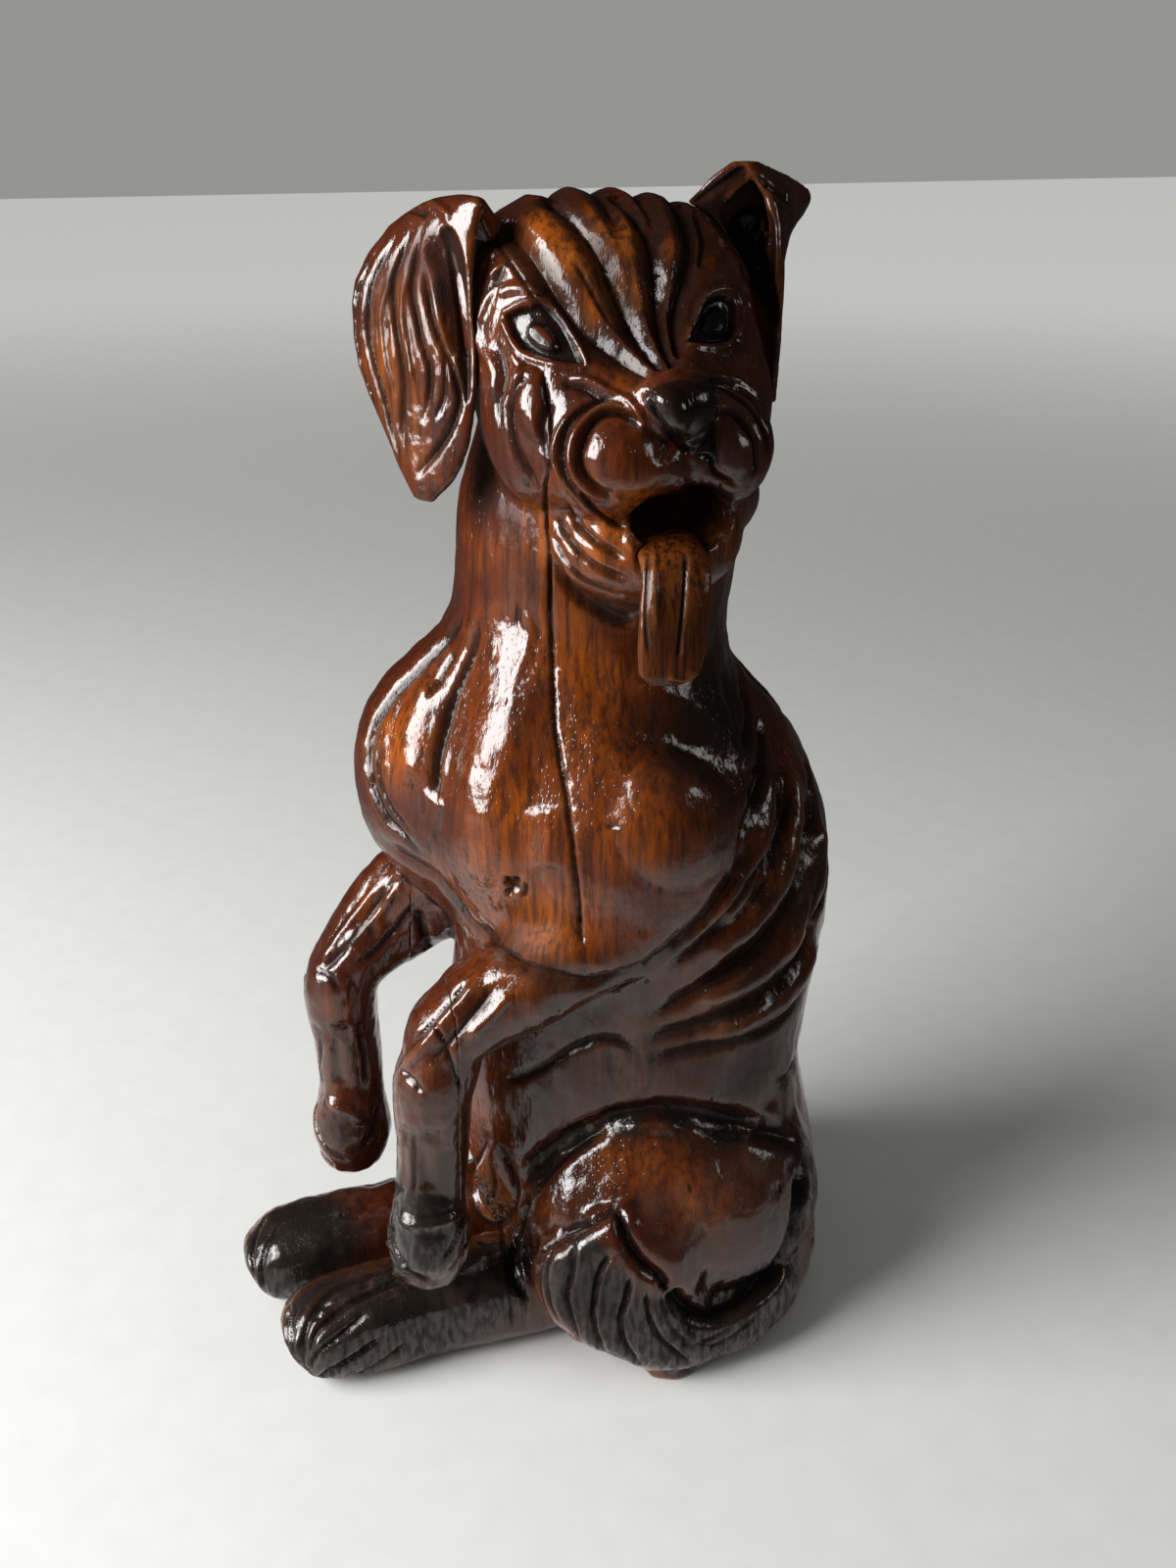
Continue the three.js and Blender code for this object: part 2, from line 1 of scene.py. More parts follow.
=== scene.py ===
"""A carved and varnished wooden dog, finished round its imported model.

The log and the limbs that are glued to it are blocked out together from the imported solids, carved over with
gouge strokes, painted with masks for stain and wear, and then sawn apart again at their glue lines.
"""

from __future__ import annotations

import json
import logging
import math
from dataclasses import dataclass, field
from enum import Enum

import bpy
import numpy as np
from mathutils import Euler, Matrix, Vector
from mathutils.bvhtree import BVHTree

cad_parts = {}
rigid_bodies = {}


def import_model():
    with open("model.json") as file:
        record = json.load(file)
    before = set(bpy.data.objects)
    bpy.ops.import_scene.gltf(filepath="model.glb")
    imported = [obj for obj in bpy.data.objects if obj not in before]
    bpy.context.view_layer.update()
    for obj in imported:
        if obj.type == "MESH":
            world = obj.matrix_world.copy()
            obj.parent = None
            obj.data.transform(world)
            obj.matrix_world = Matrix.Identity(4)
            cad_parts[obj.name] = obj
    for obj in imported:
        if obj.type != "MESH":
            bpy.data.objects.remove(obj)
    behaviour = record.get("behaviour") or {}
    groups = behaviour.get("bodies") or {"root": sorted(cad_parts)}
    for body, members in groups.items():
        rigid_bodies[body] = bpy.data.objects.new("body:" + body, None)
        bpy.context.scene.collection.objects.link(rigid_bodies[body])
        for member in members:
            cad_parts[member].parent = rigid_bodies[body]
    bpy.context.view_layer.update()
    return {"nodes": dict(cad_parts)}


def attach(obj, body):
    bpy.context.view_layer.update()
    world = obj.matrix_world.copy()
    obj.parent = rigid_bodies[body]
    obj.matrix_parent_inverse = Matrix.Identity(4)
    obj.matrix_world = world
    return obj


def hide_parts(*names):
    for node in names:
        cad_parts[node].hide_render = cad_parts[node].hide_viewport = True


log = logging.getLogger("carved_dog")

MM = 0.001
FILM_BACK = 36
# What scatters the cells of a grid over a table of random values, and the table's length, a power of two
SCATTER = (73856093, 19349663, 83492791)
TABLE = 4096
Point = tuple[float, float]
Place = tuple[float, float, float]
Colour = tuple[float, float, float]
Nodes = dict[str, bpy.types.Object]
Socket = bpy.types.NodeSocket


class Cut(Enum):
    """How one pass of the tool moves the wood across its width."""

    CREASE = "crease"
    GOUGE = "gouge"
    RIDGE = "ridge"


@dataclass(frozen=True)
class Stroke:
    """One pass of the tool: its path in pixels, and its half width and depth in millimetres."""

    path: tuple[Point, ...]
    width: float
    depth: float
    cut: Cut = Cut.CREASE
    taper: float = 0.18
    # How strongly the bottom of a cut groove is darkened with painted shade
    stain: float = 1.0


@dataclass(frozen=True)
class Boss:
    """A form raised or sunk inside a closed outline in pixels; height, rim and crown are millimetres."""

    outline: tuple[Point, ...]
    height: float
    rim: float
    crown: float = 0.0
    rounded: bool = True
    # Paint within the outline: black paint, brown paint, and painted shade that darkens a hollow where shadow
    # falls
    near_black: float = 0.0
    brown: float = 0.0
    painted_shade: float = 0.0


@dataclass(frozen=True)
class Dab:
    """A patch laid on by brush, by its middle in pixels and its radius in millimetres."""

    at: Point
    radius: float
    strength: float = 1.0


@dataclass(frozen=True)
class Tone:
    """How one tone of the finish lies over the figure, as dabs at photographed places."""

    name: str
    dabs: tuple[Dab, ...]


@dataclass(frozen=True)
class Viewpoint:
    """Where the photograph was taken from, and the size of its frame."""

    place: Place = (0.5532, -0.2041, 0.5)
    tilt: float = math.radians(66)
    turn: float = math.radians(72.3)
    lens: float = 36.0
    width: int = 1200
    height: int = 1600

    @property
    def focal(self) -> float:
        """Gives the lens's length in pixels."""
        return self.lens / FILM_BACK * self.height

    def rotation(self) -> Matrix:
        """Gives the camera's turn as a matrix."""
        return Euler((self.tilt, 0, self.turn)).to_matrix()

    def ray(self, pixel: Point) -> tuple[Vector, Vector]:
        """Gives the line of sight through a pixel.

        Args:
            pixel: Across and down in the photograph.

        Returns:
            Its start and its direction.
        """
        sight = Vector((pixel[0] - self.width / 2, self.height / 2 - pixel[1], -self.focal))
        return Vector(self.place), (self.rotation() @ sight).normalized()

    def project(self, points: np.ndarray) -> tuple[np.ndarray, np.ndarray]:
        """Shows points as pixels.

        Args:
            points: Rows of x, y, z.

        Returns:
            Rows of across and down, and how far each lies from the camera.
        """
        seen = (points - np.array(self.place)) @ np.array(self.rotation())
        far = -seen[:, 2]
        pixels = seen[:, :2] * (self.focal / far)[:, None] * (1, -1) + (self.width / 2, self.height / 2)
        return pixels, far


@dataclass(frozen=True)
class SideView:
    """A view from far off, for the sides that the photograph doesn't show. Its pixels are millimetres."""

    azimuth: float
    climb: float = 0.0

    def ray(self, pixel: Point) -> tuple[Vector, Vector]:
        """Gives the line of sight through a point of the view.

        Args:
            pixel: Millimetres to the right of the origin, and above the floor.

        Returns:
            Its start and its direction.
        """
        turn = math.radians(self.azimuth)
        climb = math.radians(self.climb)
        away = Vector((-math.sin(turn) * math.cos(climb), math.cos(turn) * math.cos(climb), -math.sin(climb)))
        right = Vector((math.cos(turn), math.sin(turn), 0))
        return (right * pixel[0] + right.cross(away) * pixel[1]) * MM - away, away


View = Viewpoint | SideView
Passes = tuple[Stroke | Boss, ...]
PHOTO = Viewpoint()
FROM_BEHIND = SideView(252.3)
FROM_BEHIND_ABOVE = SideView(252.3, 60)
FROM_THE_BACK = SideView(180)
FROM_THE_RIGHT = SideView(270)

# Hard edges of the blocked-out form that are rubbed down before the carving
EASED = (
    Dab((545, 940), 30), Dab((600, 944), 24), Dab((500, 930), 18), Dab((678, 1241), 15), Dab((716, 1279), 12),
    Dab((690, 1262), 12), Dab((812, 1200), 10),
)

# Brow, eyes, cheeks, lips and chin
BROW = (
    Stroke(((462, 226), (485, 219), (513, 232), (538, 258), (563, 296), (590, 330), (620, 354), (645, 372),
            (664, 386)), 8.5, 4.6, taper=0.08),
    Stroke(((520, 190), (557, 198), (590, 224), (612, 256), (627, 292), (643, 326), (660, 352), (684, 378)),
            8.5, 5.0, taper=0.05),
    Stroke(((575, 178), (606, 186), (640, 206), (660, 232), (668, 262), (670, 292), (673, 322), (680, 350),
            (694, 376)), 8.0, 4.8, taper=0.05),
    Stroke(((622, 176), (652, 182), (682, 198), (700, 222), (705, 250), (700, 281), (693, 306), (690, 336),
            (697, 366)), 7.0, 4.6, taper=0.05),
    Stroke(((674, 182), (700, 200), (714, 224), (719, 250), (713, 280)), 5.0, 2.6),
    Stroke(((492, 236), (512, 254), (530, 280), (548, 306), (570, 330)), 2.2, 1.3),
    Stroke(((584, 262), (600, 290), (618, 322), (640, 350)), 1.8, 1.0),
    Stroke(((632, 250), (642, 284), (654, 318), (668, 346)), 1.8, 0.9),
    Stroke(((519, 268), (508, 276), (499, 284)), 2.6, 1.3, Cut.RIDGE),
    Stroke(((509, 252), (500, 262), (493, 276)), 2.4, 1.0, Cut.RIDGE),
    Stroke(((529, 262), (516, 270), (506, 286), (494, 304), (486, 326), (486, 350)), 2.6, 1.4),
)
EYES = (
    Boss(((514, 321), (529, 314), (551, 308), (561, 313), (574, 327), (586, 349), (597, 372), (571, 369),
          (550, 364), (531, 356), (521, 341)), -2.4, 1.8, rounded=False, near_black=0.8),
    Boss(((534, 333), (541, 327), (551, 328), (562, 336), (570, 350), (567, 359), (557, 359), (545, 353),
          (536, 344)), 2.0, 2.2, 0.6, near_black=0.9),
    Boss(((543, 334), (552, 332), (562, 341), (566, 351), (558, 350), (548, 343)), 0.2, 1.0, brown=0.8),
    Boss(((703, 346), (712, 327), (720, 309), (729, 302), (743, 301), (751, 310), (753, 327), (749, 344),
          (736, 350), (716, 349)), -2.6, 2.0, near_black=0.72),
    Boss(((720, 322), (730, 314), (742, 318), (746, 330), (740, 342), (726, 342), (719, 333)), 2.2, 2.4,
          0.6, near_black=0.9),
)
LIDS = (
    Stroke(((511, 321), (529, 311), (552, 304), (566, 312), (580, 330), (591, 351), (601, 376)), 1.7, 1.2,
            Cut.RIDGE, taper=0.05),
    Stroke(((512, 325), (520, 344), (531, 360), (551, 369), (573, 374), (600, 377)), 1.7, 1.0, Cut.RIDGE,
            taper=0.05),
    Stroke(((701, 349), (709, 327), (717, 306), (729, 297), (745, 296), (755, 307), (758, 328), (752, 347)),
            1.8, 1.1, Cut.RIDGE, taper=0.05),
    Stroke(((701, 350), (717, 354), (737, 355), (752, 347)), 1.8, 1.0, Cut.RIDGE, taper=0.05),
    Stroke(((505, 300), (520, 295), (540, 294), (556, 298)), 3.4, 1.4, Cut.RIDGE),
)
FACE = (
    Boss(((658, 408), (666, 396), (682, 389), (704, 386), (722, 392), (731, 408), (730, 428), (721, 448),
          (706, 459), (692, 452), (677, 438), (665, 424)), 2.0, 4.0, 1.4),
    Boss(((666, 404), (678, 396), (693, 400), (702, 415), (698, 432), (684, 434), (672, 422)), 2.2, 6.0,
          1.6),
    Stroke(((680, 452), (690, 474), (680, 496)), 14, 3.4, Cut.RIDGE),
    Boss(((598, 470), (602, 446), (614, 430), (632, 424), (652, 430), (672, 446), (694, 464), (708, 478),
          (700, 492), (680, 502), (656, 510), (633, 510), (610, 497)), 0.6, 10.0, 3.2),
    Boss(((728, 436), (742, 427), (758, 434), (768, 456), (764, 480), (748, 486), (734, 474)), 0.8, 6.0,
          1.0),
    Boss(((522, 384), (540, 372), (556, 384), (562, 412), (558, 444), (546, 452), (530, 436), (521, 410)),
          0.6, 6.0, 2.2),
)
NOSE_PAINT = (
    (657, 408), (668, 396), (690, 388), (716, 390), (728, 402), (732, 422), (730, 444), (736, 466),
    (728, 474), (708, 464), (688, 446), (668, 428),
)
CHEEKS = (
    Stroke(((512, 284), (500, 297), (490, 316), (486, 336), (492, 355), (503, 373), (505, 394), (498, 418)),
            3.8, 1.8, Cut.RIDGE),
    Stroke(((503, 346), (511, 366), (513, 390), (508, 414), (512, 438)), 2.8, 1.5),
    Stroke(((518, 356), (530, 374), (529, 394), (520, 412)), 3.2, 1.5, Cut.RIDGE),
    Stroke(((549, 380), (531, 395), (521, 418), (522, 442), (528, 462), (540, 484), (552, 503)), 3.6, 2.2),
    Stroke(((577, 386), (594, 387), (610, 393), (622, 401), (640, 409), (652, 421), (661, 440)), 2.6, 1.8,
            Cut.RIDGE),
    Stroke(((570, 392), (592, 395), (606, 403), (616, 412)), 2.4, 1.6),
    Stroke(((656, 440), (644, 427), (627, 421), (610, 427), (598, 444), (592, 467), (597, 486), (612, 499),
            (630, 506)), 2.4, 2.6),
    Stroke(((661, 434), (646, 419), (624, 413), (604, 421), (588, 441), (582, 467), (588, 488), (604, 504),
            (626, 514)), 2.2, 1.2, Cut.RIDGE),
    Stroke(((642, 410), (624, 405), (604, 412), (585, 427), (575, 448), (572, 469), (578, 490), (593, 508),
            (612, 522)), 2.4, 2.2),
    Stroke(((603, 410), (584, 424), (570, 446), (566, 471), (578, 494), (602, 518), (622, 535)), 2.6, 1.4,
            Cut.RIDGE),
    Stroke(((566, 404), (556, 430), (556, 458), (563, 486)), 3.0, 1.4),
    Stroke(((664, 402), (673, 426), (688, 446), (703, 460)), 2.8, 2.6),
    Stroke(((708, 462), (724, 467), (727, 478), (734, 486), (757, 498)), 1.6, 1.8),
    Stroke(((727, 426), (745, 421), (760, 434), (770, 450), (773, 470), (768, 490)), 2.2, 2.2),
    Stroke(((718, 396), (739, 398), (760, 412), (775, 430), (783, 452), (783, 474)), 2.2, 2.0),
    Stroke(((713, 388), (739, 391), (762, 404), (780, 426)), 2.0, 1.3),
    Stroke(((700, 378), (728, 384), (752, 388), (772, 404), (786, 428)), 2.2, 1.2, Cut.RIDGE),
    Stroke(((585, 497), (603, 516), (619, 531), (640, 539)), 2.0, 2.6),
    Stroke(((575, 508), (586, 530), (603, 548), (622, 562), (640, 572)), 2.8, 2.4),
    Stroke(((566, 522), (577, 546), (594, 568), (618, 584), (645, 594)), 2.8, 2.2),
    Stroke(((560, 540), (572, 566), (590, 588), (614, 602), (646, 610)), 2.6, 1.8),
    Stroke(((646, 540), (640, 552), (648, 562)), 2.0, 1.0, Cut.RIDGE),
    Stroke(((560, 562), (576, 590), (597, 612), (625, 629), (650, 638)), 5, 2.8, Cut.GOUGE),
    Stroke(((640, 533), (654, 531), (668, 521), (680, 509), (692, 500), (708, 496), (724, 498), (737, 506),
            (750, 518), (762, 519)), 1.8, 0.9, Cut.RIDGE),
    Stroke(((746, 524), (744, 540), (734, 552)), 3, 1.6, Cut.RIDGE),
)
CHECK = (
    (554, 374), (557, 400), (561, 430), (559, 470), (556, 505), (558, 532), (561, 584), (561, 627),
    (563, 657), (565, 701), (567, 745), (572, 783), (578, 816), (582, 843), (586, 877), (590, 914),
    (592, 948), (595, 972),
)

# Chest, shoulders and flank
TORSO = (
    Stroke(((550, 636), (532, 690), (512, 750), (498, 812), (498, 880), (512, 930)), 23, 5.5, Cut.RIDGE,
            taper=0.36),
    Stroke(((446, 690), (430, 725), (420, 765), (424, 805)), 12, 3.0, Cut.RIDGE),
    Stroke(((552, 820), (556, 850), (558, 890)), 11, 1.6, Cut.RIDGE),
    Stroke(((604, 752), (640, 748), (680, 750), (716, 764), (748, 790), (768, 816)), 17, 5.5, Cut.GOUGE,
            stain=0.5, taper=0.4),
    Boss(((626, 822), (646, 782), (682, 764), (720, 772), (746, 796), (758, 832), (750, 868), (722, 898),
          (684, 908), (648, 892), (628, 860)), 0.0, 30, 5.0),
    Stroke(((500, 905), (540, 930), (590, 940)), 16, 1.6, Cut.RIDGE),
    Stroke(CHECK, 1.5, 2.2, taper=0.06),
    Stroke(((478, 610), (465, 640), (442, 668), (411, 698), (387, 728), (377, 760), (379, 796), (391, 830),
            (414, 857), (440, 879)), 5.0, 2.6),
    Stroke(((392, 752), (386, 790), (398, 824), (420, 850)), 3.2, 1.4),
    Stroke(((489, 622), (482, 661), (468, 695), (455, 735), (447, 769), (444, 799), (448, 822)), 4.6, 3.6),
    Stroke(((466, 664), (450, 690), (440, 716)), 3.0, 1.6),
    Stroke(((377, 848), (398, 864), (421, 881), (445, 897), (465, 921), (485, 945), (513, 965), (546, 985),
            (594, 1000), (627, 1000), (654, 989), (685, 968), (719, 938), (742, 904), (756, 870),
            (760, 832)), 8, 3.2, stain=0.6),
    Stroke(((770, 720), (779, 759), (774, 796), (763, 837), (752, 870)), 6, 2.8),
    Stroke(((796, 750), (803, 812), (796, 843), (783, 877), (763, 911), (739, 941), (705, 972), (668, 996)),
            6.5, 3.0),
    Stroke(((824, 750), (829, 800), (825, 840), (817, 887), (800, 931), (773, 965), (736, 995), (690, 1022),
            (650, 1046)), 6.5, 3.0),
    Stroke(((840, 850), (834, 921), (817, 972), (786, 1012), (742, 1036), (690, 1052), (650, 1062)), 6.5,
            2.8),
    Stroke(((832, 990), (803, 1036), (763, 1058), (712, 1072), (650, 1084)), 6, 2.4),
    Stroke(((660, 1076), (620, 1060), (590, 1068), (560, 1086), (530, 1100), (505, 1104)), 4.5, 2.0),
    Stroke(((535, 620), (540, 650), (528, 700)), 3, 0.8, Cut.RIDGE),
    Stroke(((517, 893), (524, 900), (532, 908)), 3.0, 2.8),
    Stroke(((530, 893), (526, 902), (519, 912)), 2.4, 2.2),
    Stroke(((538, 900), (536, 914)), 2.0, 1.6),
    Stroke(((618, 844), (631, 842)), 1.3, 0.9),
)

# Forelegs
FORELEGS = (
    Stroke(((404, 894), (381, 930), (362, 956), (340, 980), (324, 996)), 3.2, 1.8),
    Stroke(((414, 896), (390, 926), (368, 950), (346, 972)), 3.4, 1.6, Cut.RIDGE),
    Stroke(((388, 900), (362, 934), (342, 960), (328, 984)), 2.8, 1.2, Cut.RIDGE),
    Stroke(((425, 920), (408, 944), (386, 968), (362, 986)), 3.0, 1.6),
    Stroke(((312, 1052), (336, 1056), (362, 1052)), 8, 1.4, Cut.GOUGE, stain=0.3),
    Boss(((304, 1000), (312, 985), (330, 980), (350, 990), (362, 1008), (356, 1026), (334, 1032),
          (312, 1022)), 0.8, 9, 0.4),
    Stroke(((322, 988), (338, 996), (346, 1010)), 2.4, 1.4),
    Stroke(((425, 925), (432, 952), (443, 978)), 4, 2.4),
    Stroke(((340, 1050), (344, 1084), (346, 1108)), 4.5, 1.2, Cut.GOUGE, stain=0.2),
    Stroke(((326, 1052), (326, 1086), (320, 1110)), 2.4, 1.2),
    Stroke(((366, 1048), (372, 1080), (374, 1108)), 2.4, 1.0),
    Boss(((318, 1150), (321, 1128), (334, 1114), (356, 1110), (380, 1116), (390, 1140), (385, 1168),
          (366, 1188), (346, 1192), (328, 1180)), 1.0, 11, 2.0),
    Stroke(((326, 1120), (324, 1146), (332, 1166), (346, 1178), (362, 1184)), 2.6, 2.4),
    Stroke(((320, 1134), (320, 1156), (328, 1176), (342, 1190)), 2.0, 1.8),
    Stroke(((334, 1118), (348, 1128), (360, 1134), (370, 1146)), 3.2, 1.5, Cut.RIDGE),
    Stroke(((384, 1124), (380, 1150), (368, 1172)), 2.4, 1.4),
    Stroke(((507, 1000), (487, 1030), (462, 1060), (436, 1088)), 3.6, 2.0),
    Stroke(((493, 994), (473, 1020), (453, 1042), (427, 1072), (407, 1092)), 3.6, 2.0, Cut.RIDGE),
    Stroke(((523, 1010), (500, 1038), (472, 1062)), 3.4, 1.8, Cut.RIDGE),
    Stroke(((478, 1000), (460, 1022), (440, 1046), (418, 1068)), 2.4, 1.4),
    Stroke(((443, 1038), (450, 1056), (460, 1082), (470, 1112)), 1.3, 2.0, taper=0.05),
    Boss(((398, 1100), (408, 1086), (426, 1080), (444, 1086), (462, 1100), (470, 1120), (456, 1134),
          (430, 1138), (406, 1130)), 0.8, 9, 0.4),
    Stroke(((412, 1092), (424, 1102), (432, 1114)), 2.2, 1.4),
    Stroke(((404, 1156), (430, 1162), (456, 1156)), 8, 1.4, Cut.GOUGE, stain=0.3),
    Stroke(((428, 1148), (432, 1186), (436, 1218)), 6, 1.2, Cut.GOUGE, stain=0.1),
    Stroke(((421, 1150), (423, 1190), (423, 1220)), 2.2, 1.6),
    Stroke(((410, 1150), (410, 1190), (406, 1220)), 2.2, 1.0, Cut.RIDGE),
    Boss(((396, 1250), (402, 1232), (420, 1222), (446, 1220), (472, 1226), (485, 1244), (480, 1268),
          (466, 1292), (446, 1306), (424, 1302), (404, 1280)), 1.0, 12, 2.4),
    Stroke(((402, 1236), (400, 1262), (408, 1284), (424, 1300), (444, 1308)), 2.6, 2.4),
    Stroke(((396, 1246), (396, 1270), (406, 1292), (424, 1308)), 1.8, 1.8),
    Stroke(((408, 1236), (424, 1246), (446, 1244), (468, 1238)), 3.6, 1.6, Cut.RIDGE),
    Stroke(((482, 1246), (474, 1274), (456, 1300)), 2.6, 2.0),
    Stroke(((470, 1236), (462, 1262), (448, 1286)), 2.0, 1.2),
    Stroke(((437, 1274), (441, 1283)), 0.9, 0.6),
    Stroke(((442, 1272), (446, 1281)), 0.9, 0.6),
)

# Hind feet
FEET = (
    Stroke(((420, 1214), (396, 1217), (351, 1224), (314, 1236), (284, 1256), (268, 1284), (262, 1304)), 3.0,
            2.2),
    Stroke(((410, 1222), (362, 1232), (322, 1244), (296, 1262)), 2.6, 1.2, Cut.RIDGE),
    Stroke(((408, 1254), (390, 1257), (340, 1267), (307, 1277), (288, 1294), (276, 1322)), 3.0, 2.2),
    Stroke(((404, 1262), (351, 1274), (318, 1284), (296, 1304)), 2.4, 1.2, Cut.RIDGE),
    Stroke(((272, 1240), (260, 1262), (257, 1288), (262, 1312)), 2.2, 2.2),
    Stroke(((290, 1244), (272, 1272), (267, 1300), (272, 1322)), 2.2, 1.6),
    Stroke(((400, 1294), (373, 1303), (340, 1317), (317, 1343), (308, 1373), (312, 1410)), 3.2, 2.6),
    Stroke(((420, 1304), (393, 1313), (353, 1333), (323, 1360), (312, 1392)), 2.6, 2.2),
    Stroke(((376, 1336), (350, 1360), (323, 1383), (313, 1405)), 2.4, 2.4),
    Stroke(((396, 1360), (363, 1384), (335, 1400), (318, 1412)), 2.4, 2.4),
    Stroke(((418, 1368), (390, 1390), (353, 1410)), 2.4, 1.8),
    Stroke(((296, 1330), (291, 1358), (296, 1386), (304, 1404)), 2.4, 2.4),
    Stroke(((306, 1326), (298, 1352), (299, 1384), (308, 1408)), 2.0, 1.6),
    Stroke(((430, 1290), (400, 1300), (372, 1312)), 3, 1.2, Cut.RIDGE),
    Stroke(((511, 1250), (514, 1270), (517, 1295), (520, 1320), (522, 1357)), 1.4, 1.8, taper=0.05),
)

# Thigh, tail and belly tuft
HAUNCH = (
    Stroke(((547, 1212), (567, 1190), (590, 1168), (620, 1150)), 3.6, 1.2),
    Stroke(((600, 1150), (640, 1138), (685, 1134), (728, 1140), (768, 1150)), 12, 1.6, stain=0.4),
    Stroke(((690, 1166), (730, 1170), (764, 1180)), 14, 1.8, Cut.GOUGE, stain=0.4, taper=0.4),
    Stroke(((612, 1150), (650, 1146), (700, 1150)), 6, 1.4, Cut.RIDGE),
    Stroke(((547, 1212), (535, 1235), (531, 1258), (522, 1282), (527, 1310), (545, 1332)), 4.0, 3.2),
    Stroke(((680, 1318), (700, 1336), (725, 1342), (760, 1322), (785, 1300), (805, 1270), (815, 1240),
            (819, 1190)), 7.5, 7.0, taper=0.06),
    Stroke(((632, 1230), (636, 1252), (646, 1277), (658, 1292), (674, 1304), (682, 1322)), 4.2, 4.2,
            taper=0.1),
    Stroke(((548, 1279), (566, 1264), (590, 1252), (612, 1240), (634, 1228)), 3.6, 3.2, taper=0.1),
    Boss(((556, 1284), (580, 1266), (608, 1250), (630, 1236), (634, 1254), (644, 1280), (658, 1296),
          (672, 1306), (680, 1326), (696, 1350), (712, 1364), (730, 1384), (700, 1398), (655, 1397),
          (620, 1382), (590, 1367), (566, 1348), (553, 1320)), 2.4, 5.0),
    Stroke(((590, 1266), (585, 1295), (580, 1320), (585, 1345), (594, 1370)), 2.8, 2.6),
    Stroke(((627, 1272), (613, 1295), (607, 1325), (608, 1355), (622, 1384)), 2.8, 2.8),
    Stroke(((645, 1292), (640, 1320), (633, 1345), (638, 1370), (659, 1396)), 2.8, 2.8),
    Stroke(((660, 1306), (660, 1335), (670, 1360), (690, 1379), (708, 1390)), 2.6, 2.6),
    Stroke(((672, 1313), (677, 1340), (690, 1360), (712, 1376)), 2.4, 2.4),
    Stroke(((566, 1272), (558, 1296), (562, 1322), (574, 1350)), 2.4, 2.2),
    Stroke(((594, 1270), (590, 1296), (585, 1320), (590, 1345)), 1.6, 0.8, Cut.RIDGE),
    Stroke(((631, 1278), (618, 1297), (612, 1325), (613, 1352)), 1.6, 0.9, Cut.RIDGE),
    Stroke(((649, 1298), (645, 1321), (638, 1346), (643, 1368)), 1.6, 0.9, Cut.RIDGE),
    Stroke(((700, 1372), (722, 1368), (750, 1352)), 2.0, 1.0),
    Stroke(((720, 1378), (750, 1362), (776, 1338)), 2.0, 1.0),
    Boss(((502, 1165), (490, 1180), (482, 1205), (488, 1235), (505, 1247), (520, 1235), (524, 1210),
          (515, 1180)), 2.4, 4, 1.5),
    Stroke(((500, 1166), (484, 1192), (480, 1216), (487, 1242), (505, 1252)), 2.6, 2.0),
    Stroke(((506, 1164), (520, 1188), (528, 1214), (522, 1240), (507, 1252)), 2.6, 2.0),
    Stroke(((506, 1180), (511, 1205), (506, 1236)), 1.6, 1.2),
)

# Dog's right ear, from its root to its tip
RIGHT_EAR = (
    Stroke(((434, 240), (449, 262), (458, 300), (466, 340), (472, 376)), 7.0, 3.6, Cut.GOUGE, stain=1.0),
    Stroke(((410, 232), (391, 262), (378, 290), (374, 332), (380, 369), (391, 406), (400, 443), (412, 478)),
            2.8, 1.9),
    Stroke(((424, 226), (410, 256), (400, 288), (402, 325), (408, 362), (411, 399), (410, 432), (414, 466)),
            2.6, 1.8),
    Stroke(((434, 228), (424, 260), (419, 295), (424, 325), (430, 350), (438, 377), (437, 406), (429, 440)),
            2.6, 1.9),
    Stroke(((430, 262), (434, 295), (440, 326), (452, 356), (464, 385), (468, 412), (456, 444), (437, 470),
            (422, 490)), 2.6, 2.0),
    Stroke(((398, 284), (389, 322), (393, 366), (402, 400)), 2.0, 0.9, Cut.RIDGE),
    Stroke(((412, 280), (411, 325), (418, 366), (423, 400)), 2.0, 1.0, Cut.RIDGE),
    Stroke(((380, 262), (364, 300), (362, 340), (372, 384), (386, 420)), 2.0, 1.2),
    Stroke(((446, 340), (454, 372), (453, 404), (444, 430)), 2.0, 1.0),
    Stroke(((395, 214), (420, 206), (444, 210), (462, 224)), 3.0, 1.2, Cut.RIDGE),
    Stroke(((388, 222), (414, 214), (438, 220)), 2.2, 1.2),
)

# Dog's left ear
LEFT_EAR = (
    Stroke(((702, 208), (722, 196), (744, 182), (764, 168)), 3.0, 1.8),
    Stroke(((770, 177), (788, 192), (808, 208)), 2.4, 1.4),
    Stroke(((738, 206), (752, 190), (768, 178)), 2.4, 1.6, Cut.RIDGE),
    Stroke(((752, 216), (764, 238), (774, 268), (782, 300), (784, 340)), 8, 4.2, Cut.GOUGE),
)

# Tongue, from the mouth down
TONGUE = (
    Stroke(((700, 566), (699, 592), (697, 620), (694, 650), (692, 672)), 1.3, 1.5, taper=0.06),
    Stroke(((664, 560), (660, 590), (659, 640), (664, 676)), 1.6, 0.7),
    Stroke(((672, 545), (700, 540), (722, 550), (726, 580)), 2.4, 0.9, Cut.RIDGE),
    Stroke(((668, 556), (668, 600), (670, 650)), 2.0, 0.7, Cut.RIDGE),
    Stroke(((680, 690), (700, 694), (715, 684)), 2.4, 0.8, Cut.RIDGE),
)
